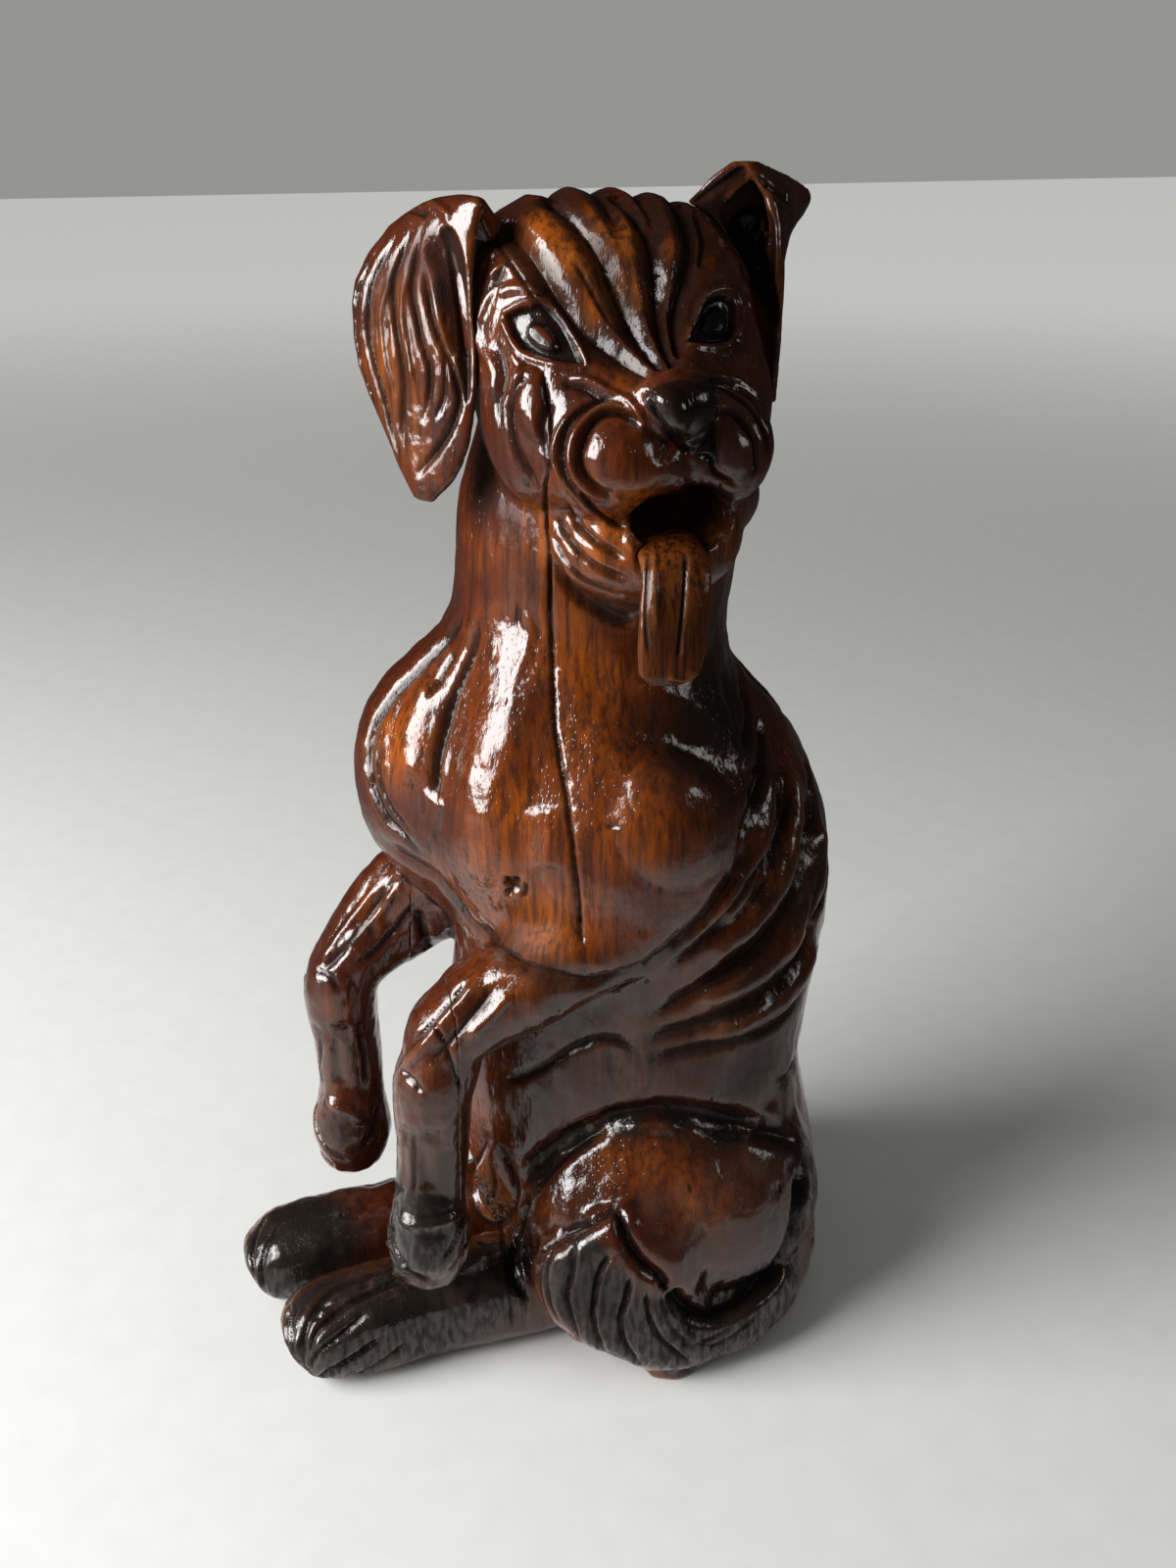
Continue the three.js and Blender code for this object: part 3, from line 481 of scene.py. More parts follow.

# Painted shadow in deep dark hollows, where the gaps lie in shade: behind the right ear's edge, in the left
# ear, and beside the head under it
SHADOW_GAPS = (
    Boss(((446, 236), (462, 232), (474, 262), (480, 300), (484, 350), (482, 400), (474, 412), (466, 380),
          (460, 330), (452, 280)), -3.0, 4, painted_shade=1.3),
    Boss(((742, 236), (755, 214), (776, 210), (791, 224), (793, 255), (791, 290), (788, 318), (778, 326),
          (768, 300), (757, 275)), -1.5, 4, painted_shade=1.3),
    Boss(((783, 300), (793, 330), (796, 370), (796, 420), (788, 430), (784, 380), (779, 330)), 0, 3,
          painted_shade=1.2),
)

# Crown and neck from behind, then the back and the right side
BEHIND = (
    Stroke(((56, 380), (50, 352), (54, 322)), 4, 1.8),
    Stroke(((34, 376), (30, 346), (36, 310)), 5, 2.2),
    Stroke(((12, 380), (12, 346), (16, 306), (10, 276)), 5, 2.2),
    Stroke(((-8, 376), (-12, 340), (-8, 300)), 4, 1.8),
)
CROWN = (
    Stroke(((60, 238), (61, 222), (56, 200), (50, 180)), 6, 2.6),
    Stroke(((32, 264), (37, 254), (41, 243), (42, 232), (40, 216), (36, 198), (32, 176)), 7.5, 3.0,
            taper=0.12),
    Stroke(((15, 266), (20, 256), (24, 246), (27, 234), (26, 216), (23, 198), (20, 174)), 7.5, 3.0,
            taper=0.12),
    Stroke(((0, 266), (5, 256), (9, 246), (11, 234), (11, 216), (9, 198), (8, 174)), 7, 2.8, taper=0.12),
    Stroke(((-10, 260), (-5, 250), (-3, 240), (-3, 226), (-5, 200), (-6, 180)), 6, 2.0, taper=0.12),
)
BACK = (
    Stroke(((2, 330), (-2, 292), (3, 250), (-1, 206), (2, 160)), 6, 2.4),
    Stroke(((14, 296), (32, 276), (54, 266)), 6, 2.4),
    Stroke(((12, 258), (32, 236), (60, 228)), 6.5, 2.8),
    Stroke(((12, 220), (34, 198), (62, 192)), 6.5, 2.8),
    Stroke(((14, 182), (36, 164), (60, 160)), 6, 2.4),
    Stroke(((-14, 290), (-32, 274), (-48, 268)), 6, 2.4),
    Stroke(((-14, 250), (-34, 230), (-52, 226)), 6.5, 2.8),
    Stroke(((-13, 212), (-34, 194), (-52, 190)), 6.5, 2.8),
    Stroke(((-14, 176), (-34, 162), (-52, 160)), 6, 2.4),
    Stroke(((6, 130), (26, 118), (52, 110), (76, 92)), 7, 2.2, stain=0.6),
    Stroke(((-8, 128), (-24, 118), (-40, 114), (-54, 116)), 7, 2.0, stain=0.6),
    Stroke(((2, 60), (-20, 50), (-42, 46), (-60, 48)), 7, 3.4),
    Stroke(((4, 40), (-20, 30), (-42, 27), (-60, 28)), 2.6, 1.8),
    Stroke(((4, 26), (-20, 18), (-42, 14), (-60, 15)), 2.6, 1.6),
)
RIGHT_SIDE = (
    Stroke(((-40, 300), (-28, 270), (-4, 242), (32, 216), (62, 202)), 6.5, 3.0),
    Stroke(((-56, 280), (-46, 248), (-20, 216), (16, 192), (52, 178)), 6.5, 3.0),
    Stroke(((-66, 250), (-56, 216), (-34, 188), (0, 168), (38, 158)), 6.5, 2.8),
    Stroke(((-68, 205), (-56, 182), (-30, 162), (6, 148)), 6, 2.4),
    Stroke(((-60, 106), (-30, 114), (0, 110), (30, 96), (56, 74)), 9, 3.6),
    Stroke(((66, 280), (70, 250), (60, 224), (36, 206)), 6, 2.6),
    Stroke(((40, 330), (54, 300), (66, 268)), 5, 2.4),
    Stroke(((20, 340), (28, 300), (22, 262)), 5, 2.0),
    Stroke(((-64, 60), (-40, 40), (-8, 30), (26, 30)), 5, 2.0),
    Stroke(((100, 34), (130, 36), (158, 30)), 2.6, 1.8),
    Stroke(((104, 22), (134, 24), (164, 18)), 2.6, 1.8),
)

# Tones: warm places, dark stain with painted shade, a film of dust with painted sheen, and where the varnish
# is dull
AMBER = Tone("amber", (
    Dab((556, 232), 16, 0.9), Dab((600, 256), 18, 1.0), Dab((626, 290), 16, 1.0), Dab((640, 240), 16, 1.0),
    Dab((655, 300), 12, 1.0), Dab((684, 250), 8, 0.7), Dab((680, 300), 7, 0.5), Dab((600, 320), 9, 0.8),
    Dab((576, 256), 14, 0.9), Dab((616, 232), 16, 0.9), Dab((606, 760), 34, 0.5), Dab((640, 850), 36, 0.45),
    Dab((540, 860), 34, 0.5), Dab((580, 930), 30, 0.55), Dab((590, 690), 24, 0.5), Dab((500, 880), 20, 0.5),
    Dab((570, 640), 18, 0.45), Dab((410, 760), 24, 0.55), Dab((430, 700), 16, 0.4),
    Dab((392, 310), 14, 0.3), Dab((392, 370), 16, 0.5), Dab((410, 420), 18, 0.6), Dab((430, 460), 14, 0.4),
    Dab((440, 350), 8, 0.4), Dab((548, 520), 12, 0.5), Dab((562, 560), 12, 0.5), Dab((612, 560), 14, 0.8),
    Dab((650, 505), 12, 0.7), Dab((640, 380), 10, 0.6), Dab((690, 520), 12, 0.9), Dab((720, 545), 12, 0.7),
    Dab((628, 1176), 17, 0.55), Dab((656, 1186), 18, 0.55), Dab((700, 1190), 22, 0.35),
    Dab((720, 1230), 24, 0.35), Dab((562, 1232), 8, 0.5), Dab((535, 1020), 15, 0.45),
    Dab((380, 930), 13, 0.5), Dab((345, 1030), 12, 0.45), Dab((500, 1140), 14, 0.35),
    Dab((790, 900), 8, 0.6), Dab((806, 860), 8, 0.5), Dab((765, 930), 8, 0.4),
))
# Dark stain on the feet, tail and tuft, and painted shade on the right side of face and chest, under the jaw,
# on the flank and along the thigh's top
STAIN_AND_SHADE = Tone("stain", (
    Dab((300, 1270), 50, 1.4), Dab((340, 1360), 52, 1.4), Dab((430, 1330), 48, 1.4),
    Dab((400, 1250), 46, 1.4), Dab((500, 1310), 40, 1.2), Dab((600, 1320), 30, 1.8),
    Dab((560, 1300), 20, 0.8), Dab((640, 1360), 32, 1.9), Dab((720, 1370), 34, 1.9),
    Dab((790, 1330), 34, 1.8), Dab((825, 1240), 26, 1.7), Dab((820, 1180), 22, 1.3),
    Dab((600, 1280), 14, 1.4), Dab((380, 300), 24, 0.35), Dab((400, 430), 26, 0.3),
    Dab((690, 1080), 46, 0.65), Dab((780, 1010), 46, 0.6), Dab((826, 900), 44, 0.75),
    Dab((640, 1090), 34, 0.7), Dab((570, 1100), 24, 0.55), Dab((760, 1120), 44, 0.6),
    Dab((600, 1050), 26, 0.6), Dab((640, 1010), 22, 0.45), Dab((560, 1010), 16, 0.35),
    Dab((735, 330), 22, 0.85), Dab((765, 420), 18, 0.6), Dab((745, 460), 14, 0.5),
    Dab((760, 220), 26, 0.75), Dab((720, 210), 14, 0.5), Dab((436, 1275), 22, 0.75),
    Dab((436, 1200), 18, 0.45), Dab((350, 1160), 22, 0.75), Dab((350, 1090), 18, 0.4),
    Dab((432, 1120), 12, 0.3), Dab((500, 1210), 22, 0.9), Dab((520, 1290), 16, 0.5),
    Dab((490, 500), 18, 0.6), Dab((740, 720), 40, 0.8), Dab((760, 800), 30, 0.6), Dab((690, 640), 22, 0.6),
    Dab((735, 640), 24, 0.6), Dab((640, 620), 16, 0.5), Dab((700, 790), 18, 0.5), Dab((425, 200), 16, 0.6),
    Dab((370, 250), 14, 0.4), Dab((390, 215), 14, 0.5), Dab((415, 500), 10, 0.5), Dab((450, 300), 10, 0.6),
    Dab((500, 300), 12, 0.3), Dab((425, 870), 14, 0.5), Dab((470, 930), 14, 0.5), Dab((590, 500), 10, 0.3),
    Dab((590, 1160), 12, 0.7), Dab((640, 1146), 14, 0.9), Dab((690, 1140), 15, 0.9),
    Dab((740, 1150), 16, 1.0), Dab((790, 1160), 18, 1.0), Dab((556, 1188), 10, 0.6),
))
# Dust film, partly a painted sheen where the lower surfaces mirror the pale floor
DUST_AND_SHEEN = Tone("dust_and_sheen", (
    Dab((405, 852), 9, 0.6), Dab((424, 878), 9, 0.7), Dab((450, 905), 10, 0.8), Dab((478, 938), 11, 0.8),
    Dab((516, 968), 12, 0.4), Dab((556, 990), 13, 0.4), Dab((600, 1000), 14, 0.7), Dab((640, 985), 14, 0.6),
    Dab((620, 1050), 30, 0.7), Dab((680, 1070), 34, 0.8), Dab((740, 1060), 34, 0.7),
    Dab((790, 1080), 30, 0.8), Dab((570, 1100), 22, 0.7), Dab((530, 1130), 18, 0.6),
    Dab((640, 1110), 20, 0.8), Dab((700, 1250), 24, 0.7), Dab((740, 1220), 22, 0.6),
    Dab((680, 1230), 16, 0.6), Dab((780, 1190), 18, 0.7), Dab((830, 1140), 14, 0.7),
    Dab((832, 1220), 12, 0.7), Dab((800, 1310), 20, 0.3), Dab((740, 1370), 20, 0.3),
    Dab((520, 1080), 14, 0.4), Dab((350, 1080), 12, 0.5), Dab((430, 1180), 14, 0.5),
    Dab((750, 410), 12, 0.5), Dab((756, 450), 10, 0.5), Dab((480, 1320), 24, 0.4), Dab((600, 590), 12, 0.7),
    Dab((630, 615), 12, 0.7), Dab((500, 300), 10, 0.4), Dab((640, 940), 22, 0.35),
    Dab((700, 930), 20, 0.35),
))
DULL = Tone("dull", (
    Dab((596, 262), 20, 0.75), Dab((640, 246), 18, 0.8), Dab((628, 300), 16, 0.6), Dab((552, 342), 5, 0.8),
    Dab((730, 332), 6, 0.8), Dab((400, 390), 22, 0.7), Dab((420, 340), 16, 0.6), Dab((432, 270), 20, 0.9),
    Dab((404, 300), 20, 0.9), Dab((456, 340), 14, 0.7), Dab((382, 330), 16, 0.7), Dab((410, 460), 16, 0.6),
    Dab((520, 540), 26, 0.9), Dab((500, 590), 20, 0.7), Dab((540, 600), 14, 0.5), Dab((545, 956), 22, 1.8),
    Dab((402, 430), 20, 0.6), Dab((436, 390), 18, 0.55), Dab((392, 350), 14, 0.5), Dab((440, 460), 14, 0.6),
    Dab((690, 640), 16, 0.4), Dab((600, 640), 16, 0.5), Dab((660, 860), 20, 0.5), Dab((600, 880), 22, 0.4),
    Dab((700, 1080), 40, 0.6), Dab((770, 1090), 30, 0.6), Dab((600, 1090), 24, 0.5),
    Dab((700, 1200), 30, 0.5), Dab((600, 1320), 26, 0.5), Dab((700, 720), 18, 0.4),
    Dab((752, 420), 16, 0.5), Dab((760, 360), 14, 0.5),
))
TONES = (AMBER, STAIN_AND_SHADE, DUST_AND_SHEEN, DULL)


def smoothstep(low: float, high: float, value: np.ndarray) -> np.ndarray:
    """Rises smoothly from 0 at low to 1 at high."""
    t = np.clip((value - low) / (high - low), 0, 1)
    return t * t * (3 - 2 * t)


def stretch(a: Vector, b: Vector, c: Vector, d: Vector, steps: int) -> list[Point]:
    """Runs a smooth line from b up to c.

    Args:
        a: The point before the stretch.
        b: Its first point.
        c: Its last point, which isn't given back.
        d: The point after it.
        steps: How many points are wanted.

    Returns:
        The points.
    """
    line = []
    for step in range(steps):
        t = step / steps
        p = b * 2 + (c - a) * t + (a * 2 - b * 5 + c * 4 - d) * t * t + (b * 3 - a - c * 3 + d) * t**3
        line.append(tuple(p / 2))
    return line


def spline(path: tuple[Point, ...], steps: int = 10) -> list[Point]:
    """Runs a smooth line through points.

    Args:
        path: The points, at least two.
        steps: How many parts each stretch gets.

    Returns:
        Points along the line, ends included.
    """
    before = Vector(path[0]) * 2 - Vector(path[1])
    after = Vector(path[-1]) * 2 - Vector(path[-2])
    points = [before, *map(Vector, path), after]
    line = []
    for a, b, c, d in zip(points, points[1:], points[2:], points[3:]):
        line += stretch(a, b, c, d, steps)
    return line + [path[-1]]


def closed_spline(outline: tuple[Point, ...], steps: int = 5) -> np.ndarray:
    """Runs a smooth closed line through points.

    Args:
        outline: The points.
        steps: How many parts each stretch gets.

    Returns:
        Rows of across and down.
    """
    n = len(outline)
    ring = [Vector(p) for p in outline]
    rows = []
    for i in range(n):
        rows += stretch(*(ring[(i + k) % n] for k in (-1, 0, 1, 2)), steps)
    return np.array(rows)


def depth_inside(ring: np.ndarray, pixels: np.ndarray) -> np.ndarray:
    """Gives how far pixels lie inside a closed line, or 0 outside it.

    Args:
        ring: The line's points.
        pixels: Rows of across and down.

    Returns:
        A distance in pixels for each.
    """
    nearest = np.full(len(pixels), np.inf)
    inside = np.zeros(len(pixels), bool)
    for a, b in zip(ring, np.roll(ring, -1, axis=0)):
        way = b - a
        off = pixels - a
        t = np.clip(off @ way / max(way @ way, 1e-9), 0, 1)
        nearest = np.minimum(nearest, np.linalg.norm(off - t[:, None] * way, axis=1))
        crosses = (a[1] > pixels[:, 1]) != (b[1] > pixels[:, 1])
        at = a[0] + (pixels[:, 1] - a[1]) * way[0] / (way[1] if abs(way[1]) > 1e-9 else 1e-9)
        inside ^= crosses & (pixels[:, 0] < at)
    return np.where(inside, nearest, 0)


def waver(points: np.ndarray, size: Place, seed: int) -> np.ndarray:
    """Gives a smooth random value from -1 to 1 for each point.

    Args:
        points: Rows of x, y, z.
        size: How wide the waves are along x, y and z, in millimetres.
        seed: Which random field.

    Returns:
        The values.
    """
    table = np.random.default_rng(seed).uniform(-1, 1, TABLE)
    grid = points / (np.array(size) * MM)
    cell = np.floor(grid).astype(np.int64)
    t = grid - cell
    t = t * t * (3 - 2 * t)
    total = np.zeros(len(points))
    for corner in range(8):
        step = np.array([corner & 1, corner >> 1 & 1, corner >> 2 & 1])
        key = ((cell + step) * SCATTER).sum(1) & (TABLE - 1)
        total += table[key] * np.where(step, t, 1 - t).prod(1)
    return total


def deselect() -> None:
    """Leaves nothing selected."""
    for obj in bpy.context.view_layer.objects:
        obj.select_set(False)


def activate(obj: bpy.types.Object) -> None:
    """Selects one object and makes it the active one.

    Args:
        obj: The object.
    """
    deselect()
    obj.hide_set(False)
    obj.select_set(True)
    bpy.context.view_layer.objects.active = obj


def apply_modifier(obj: bpy.types.Object, kind: str, **settings: object) -> None:
    """Adds a modifier to an object and applies it.

    Args:
        obj: The object.
        kind: Blender's name of the modifier.
        settings: The modifier's own settings.
    """
    activate(obj)
    modifier = obj.modifiers.new(kind.lower(), kind)
    for name, value in settings.items():
        setattr(modifier, name, value)
    bpy.ops.object.modifier_apply(modifier=modifier.name)


def rows_of(items: bpy.types.bpy_prop_collection, name: str) -> np.ndarray:
    """Reads one vector from each item of a mesh.

    Args:
        items: The vertices, their normals or the faces.
        name: What is read.

    Returns:
        Rows of x, y, z.
    """
    flat = np.empty(len(items) * 3, np.float32)
    items.foreach_get(name, flat)
    return flat.reshape(-1, 3).astype(float)


def coordinates(obj: bpy.types.Object) -> np.ndarray:
    """Gives an object's vertices as rows of x, y, z."""
    return rows_of(obj.data.vertices, "co")


def normals(obj: bpy.types.Object) -> np.ndarray:
    """Gives an object's vertex normals as rows of x, y, z."""
    return rows_of(obj.data.vertex_normals, "vector")


def face_centres(obj: bpy.types.Object) -> np.ndarray:
    """Gives the middles of an object's faces as rows of x, y, z."""
    return rows_of(obj.data.polygons, "center")


def set_coordinates(obj: bpy.types.Object, points: np.ndarray) -> None:
    """Moves an object's vertices to new places."""
    obj.data.vertices.foreach_set("co", points.astype(np.float32).ravel())
    obj.data.update()


def write_mask(obj: bpy.types.Object, name: str, values: np.ndarray) -> None:
    """Keeps one value a vertex under a name that the finish reads."""
    layer = obj.data.attributes.get(name) or obj.data.attributes.new(name, "FLOAT", "POINT")
    layer.data.foreach_set("value", values.astype(np.float32))


def surface(obj: bpy.types.Object) -> BVHTree:
    """Gives an object's surface for measuring."""
    return BVHTree.FromObject(obj, bpy.context.evaluated_depsgraph_get())


def averaged(obj: bpy.types.Object, values: np.ndarray, rounds: int) -> np.ndarray:
    """Averages rows of values over neighbouring vertices.

    Args:
        obj: The object whose edges join the neighbours.
        values: One row a vertex.
        rounds: How often.

    Returns:
        The averaged rows.
    """
    flat = np.empty(len(obj.data.edges) * 2, np.int32)
    obj.data.edges.foreach_get("vertices", flat)
    a, b = flat[0::2], flat[1::2]
    count = len(values)
    share = np.bincount(a, minlength=count) + np.bincount(b, minlength=count) + 1.0
    for _ in range(rounds):
        total = values.copy()
        for axis in range(values.shape[1]):
            total[:, axis] += np.bincount(a, values[b, axis], count) + np.bincount(b, values[a, axis], count)
        values = total / share[:, None]
    return values


def select_faces(obj: bpy.types.Object, chosen: np.ndarray) -> None:
    """Opens an object for editing with just some faces selected.

    Args:
        obj: The object.
        chosen: One truth a face.
    """
    activate(obj)
    bpy.context.tool_settings.mesh_select_mode = (False, False, True)
    bpy.ops.object.mode_set(mode="EDIT")
    bpy.ops.mesh.select_all(action="DESELECT")
    bpy.ops.object.mode_set(mode="OBJECT")
    obj.data.polygons.foreach_set("select", chosen)
    bpy.ops.object.mode_set(mode="EDIT")


def close_rims(obj: bpy.types.Object) -> None:
    """Fills the open rims of an object.

    Args:
        obj: The object.
    """
    activate(obj)
    bpy.context.tool_settings.mesh_select_mode = (False, True, False)
    bpy.ops.object.mode_set(mode="EDIT")
    bpy.ops.mesh.select_all(action="DESELECT")
    bpy.ops.mesh.select_non_manifold(extend=False)
    bpy.ops.mesh.fill()
    bpy.ops.object.mode_set(mode="OBJECT")


def largest_shell(obj: bpy.types.Object) -> bpy.types.Object:
    """Removes small shells that were shut inside an object.

    Args:
        obj: The object.

    Returns:
        The object that holds the largest shell.
    """
    activate(obj)
    bpy.ops.object.mode_set(mode="EDIT")
    bpy.ops.mesh.select_all(action="SELECT")
    bpy.ops.mesh.separate(type="LOOSE")
    bpy.ops.object.mode_set(mode="OBJECT")
    shells = sorted(bpy.context.selected_objects, key=lambda o: len(o.data.vertices))
    kept = shells.pop()
    for shell in shells:
        bpy.data.objects.remove(shell)
    activate(kept)
    return kept


def fused(name: str, solids: list[bpy.types.Object], voxel: float, rounds: int) -> bpy.types.Object:
    """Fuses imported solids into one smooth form.

    Args:
        name: The new form's name.
        solids: The solids, which stay as they are.
        voxel: How fine the new skin is, in millimetres.
        rounds: How far it is smoothed.

    Returns:
        The form.
    """
    parts = []
    for solid in solids:
        part = bpy.data.objects.new("block_" + solid.name, solid.data.copy())
        bpy.context.scene.collection.objects.link(part)
        parts.append(part)
    activate(parts[0])
    for part in parts:
        part.select_set(True)
    if len(parts) > 1:
        bpy.ops.object.join()
    form = bpy.context.view_layer.objects.active
    activate(form)
    bpy.ops.object.mode_set(mode="EDIT")
    bpy.ops.mesh.select_all(action="SELECT")
    bpy.ops.mesh.remove_doubles(threshold=1e-6)
    bpy.ops.object.mode_set(mode="OBJECT")
    form.data.materials.clear()
    for layer in list(form.data.uv_layers):
        form.data.uv_layers.remove(layer)
    apply_modifier(form, "REMESH", mode="VOXEL", voxel_size=voxel * MM, adaptivity=0)
    form = largest_shell(form)
    form.name = name
    apply_modifier(form, "SMOOTH", factor=0.5, iterations=rounds)
    return form


class Carving:
    """A blocked-out form under the carver's tools."""

    # Strokes wider than this, in millimetres, move the whole surface and add up
    BROAD = 9
    # A stroke doesn't drop farther back than this between two points, in metres
    DROP = 0.03
    # How squarely the wood has to face the camera to count as seen
    FACING = 0.02
    # How far inside a boss's outline its paint is full, in millimetres
    PAINT_EDGE = 0.7
    # How strong the painted shade in the mouth is, and where it fades out and is full, in half sizes of the
    # hollow
    DIRT, DIRT_ENDS, DIRT_FULL = 1.25, 1.12, 0.98
    # Depth of the tool's waver in millimetres, the size of its waves, and which random field it is
    WAVER = ((0.5, (8, 8, 19), 3), (0.28, (4, 4, 8), 5), (0.13, (2.2, 2.2, 3.5), 7))
    # How far neighbours are averaged for each relief mask, and the depth in millimetres that counts as full
    RELIEF = (("fine", 4, 0.22), ("broad", 40, 1.6))

    def __init__(self, obj: bpy.types.Object) -> None:
        """Takes up a form.

        Args:
            obj: The form, smooth and closed.
        """
        self.obj = obj
        self.points = coordinates(obj)
        self.normals = averaged(obj, normals(obj), 4)
        self.normals /= np.linalg.norm(self.normals, axis=1)[:, None]
        self.tree = surface(obj)
        self.lift, self.rise, self.cut, self.painted_shade, self.near_black, self.brown = np.zeros((6, len(self.points)))
        self.pixels, self.far = PHOTO.project(self.points)
        self.seen = self.in_sight()

    def in_sight(self, cell: int = 6, slack: float = 0.006) -> np.ndarray:
        """Tells which vertices the photograph shows.

        Args:
            cell: How many pixels wide the cells are in which the nearest vertex is looked for.
            slack: How much farther than the nearest a vertex may lie, in metres.

        Returns:
            One truth a vertex.
        """
        columns = PHOTO.width // cell + 1
        spot = np.clip(self.pixels // cell, 0, (PHOTO.width // cell, PHOTO.height // cell)).astype(int)
        key = spot[:, 1] * columns + spot[:, 0]
        front = np.full(columns * (PHOTO.height // cell + 1), np.inf)
        np.minimum.at(front, key, self.far)
        toward = np.array(PHOTO.place) - self.points
        facing = (self.normals * toward).sum(1) / np.linalg.norm(toward, axis=1)
        return (self.far < front[key] + slack) & (facing > self.FACING)

    def boss(self, form: Boss) -> None:
        """Raises or sinks one form and paints it.

        Args:
            form: The form.
        """
        ring = closed_spline(form.outline) if form.rounded else np.array(form.outline, float)
        within = ((self.pixels > ring.min(0)) & (self.pixels < ring.max(0))).all(1)
        chosen = np.flatnonzero(self.seen & within)
        if not len(chosen):
            return
        inside = depth_inside(ring, self.pixels[chosen]) * (self.far[chosen] / PHOTO.focal) / MM
        rise = 1 - np.clip(1 - inside / form.rim, 0, 1) ** 2
        dome = 1 - np.clip(1 - inside / max(inside.max(), 1e-6), 0, 1) ** 2
        self.lift[chosen] += (form.height * rise + form.crown * dome) * MM
        edge = smoothstep(0, self.PAINT_EDGE, inside)
        for mask, strength in ((self.near_black, form.near_black), (self.brown, form.brown), (self.painted_shade, form.painted_shade)):
            mask[chosen] = np.maximum(mask[chosen], strength * edge)

    def paint_mouth_shade(self, middle: Place, half: Place) -> None:
        """Paints dull black shade into an egg-shaped hollow, by its middle and half sizes in millimetres."""
        out = np.linalg.norm((self.points / MM - middle) / half, axis=1)
        self.painted_shade = np.maximum(self.painted_shade, self.DIRT * smoothstep(self.DIRT_ENDS, self.DIRT_FULL, out))

    def trace(self, view: View, path: tuple[Point, ...]) -> tuple[np.ndarray, np.ndarray]:
        """Lays a path of a view on the surface.

        Args:
            view: What the path is drawn in.
            path: Its points.

        Returns:
            Points on the surface and the surface's directions there.
        """
        places, facing = [], []
        depth = None
        for pixel in spline(path):
            start, way = view.ray(pixel)
            place, normal, _, distance = self.tree.ray_cast(start, way)
            if place is None or (depth is not None and distance > depth + self.DROP):
                if depth is None:
                    continue
                place, normal, _, _ = self.tree.find_nearest(start + way * depth)
            else:
                depth = distance
            places.append(place)
            facing.append(normal)
        return np.array(places).reshape(-1, 3), np.array(facing).reshape(-1, 3)

    def near(self, places: np.ndarray, reach: float) -> np.ndarray:
        """Gives the vertices in a box round some places."""
        low, high = places.min(0) - reach, places.max(0) + reach
        return np.flatnonzero(((self.points > low) & (self.points < high)).all(1))

    @staticmethod
    def beside(spots: np.ndarray, places: np.ndarray) -> tuple[np.ndarray, np.ndarray]:
        """Measures how far spots lie from a line.

        Args:
            spots: Rows of x, y, z.
            places: The line's points.

        Returns:
            The distances, and which point of the line is nearest to each spot.
        """
        gaps = np.linalg.norm(spots[:, None, :] - places[None], axis=2)
        nearest = gaps.argmin(1)
        away = gaps[np.arange(len(spots)), nearest]
        start = places[nearest]
        for step in (-1, 1):
            leg = places[np.clip(nearest + step, 0, len(places) - 1)] - start
            share = np.clip(((spots - start) * leg).sum(1) / ((leg**2).sum(1) + 1e-12), 0, 1)
            away = np.minimum(away, np.linalg.norm(spots - start - leg * share[:, None], axis=1))
        return away, nearest

    def stroke(self, view: View, stroke: Stroke) -> None:
        """Makes one pass of the tool.

        Args:
            view: What the pass is drawn in.
            stroke: The pass.
        """
        places, facing = self.trace(view, stroke.path)
        if len(places) < 2:
            log.info("a stroke at %s misses the wood", stroke.path[0])
            return
        width = stroke.width * MM
        chosen = self.near(places, width)
        if not len(chosen):
            return
        away, nearest = self.beside(self.points[chosen], places)
        along = nearest / (len(places) - 1)
        ends = smoothstep(0, stroke.taper, along) * smoothstep(0, stroke.taper, 1 - along)
        turned = smoothstep(-0.1, 0.5, (self.normals[chosen] * facing[nearest]).sum(1))
        inside = np.clip(1 - away / width, 0, 1)
        profile = inside**1.7 if stroke.cut is Cut.CREASE else smoothstep(0, 1, inside)
        amount = profile * ends * turned * stroke.depth * MM
        raised = stroke.cut is Cut.RIDGE
        if stroke.width > self.BROAD:
            self.lift[chosen] += amount if raised else -amount
        else:
            layer = self.rise if raised else self.cut
            layer[chosen] = np.maximum(layer[chosen], amount)
        if not raised:
            # The groove's bottom is painted dark: painted shade, as strongly as the stroke asks
            groove_shade = smoothstep(0.0, 0.62, inside) * ends * turned * stroke.stain
            self.painted_shade[chosen] = np.maximum(self.painted_shade[chosen], groove_shade)

    def strokes(self, view: View, passes: Passes) -> None:
        """Makes several passes of the tool.

        Args:
            view: What the passes are drawn in.
            passes: The passes.
        """
        for made in passes:
            if isinstance(made, Boss):
                self.boss(made)
            else:
                self.stroke(view, made)

    def settle(self, rough: float) -> None:
        """Moves the wood as the strokes say and keeps the masks that go with them.

        Args:
            rough: How strongly the tool's waver shows.
        """
        uneven = sum(depth * waver(self.points, size, seed) for depth, size, seed in self.WAVER)
        moved = self.lift + self.rise - self.cut + uneven * rough * MM
        set_coordinates(self.obj, self.points + self.normals * moved[:, None])
        for name, mask in (("painted_shade", self.painted_shade), ("near_black", self.near_black), ("brown", self.brown)):
            write_mask(self.obj, name, mask)

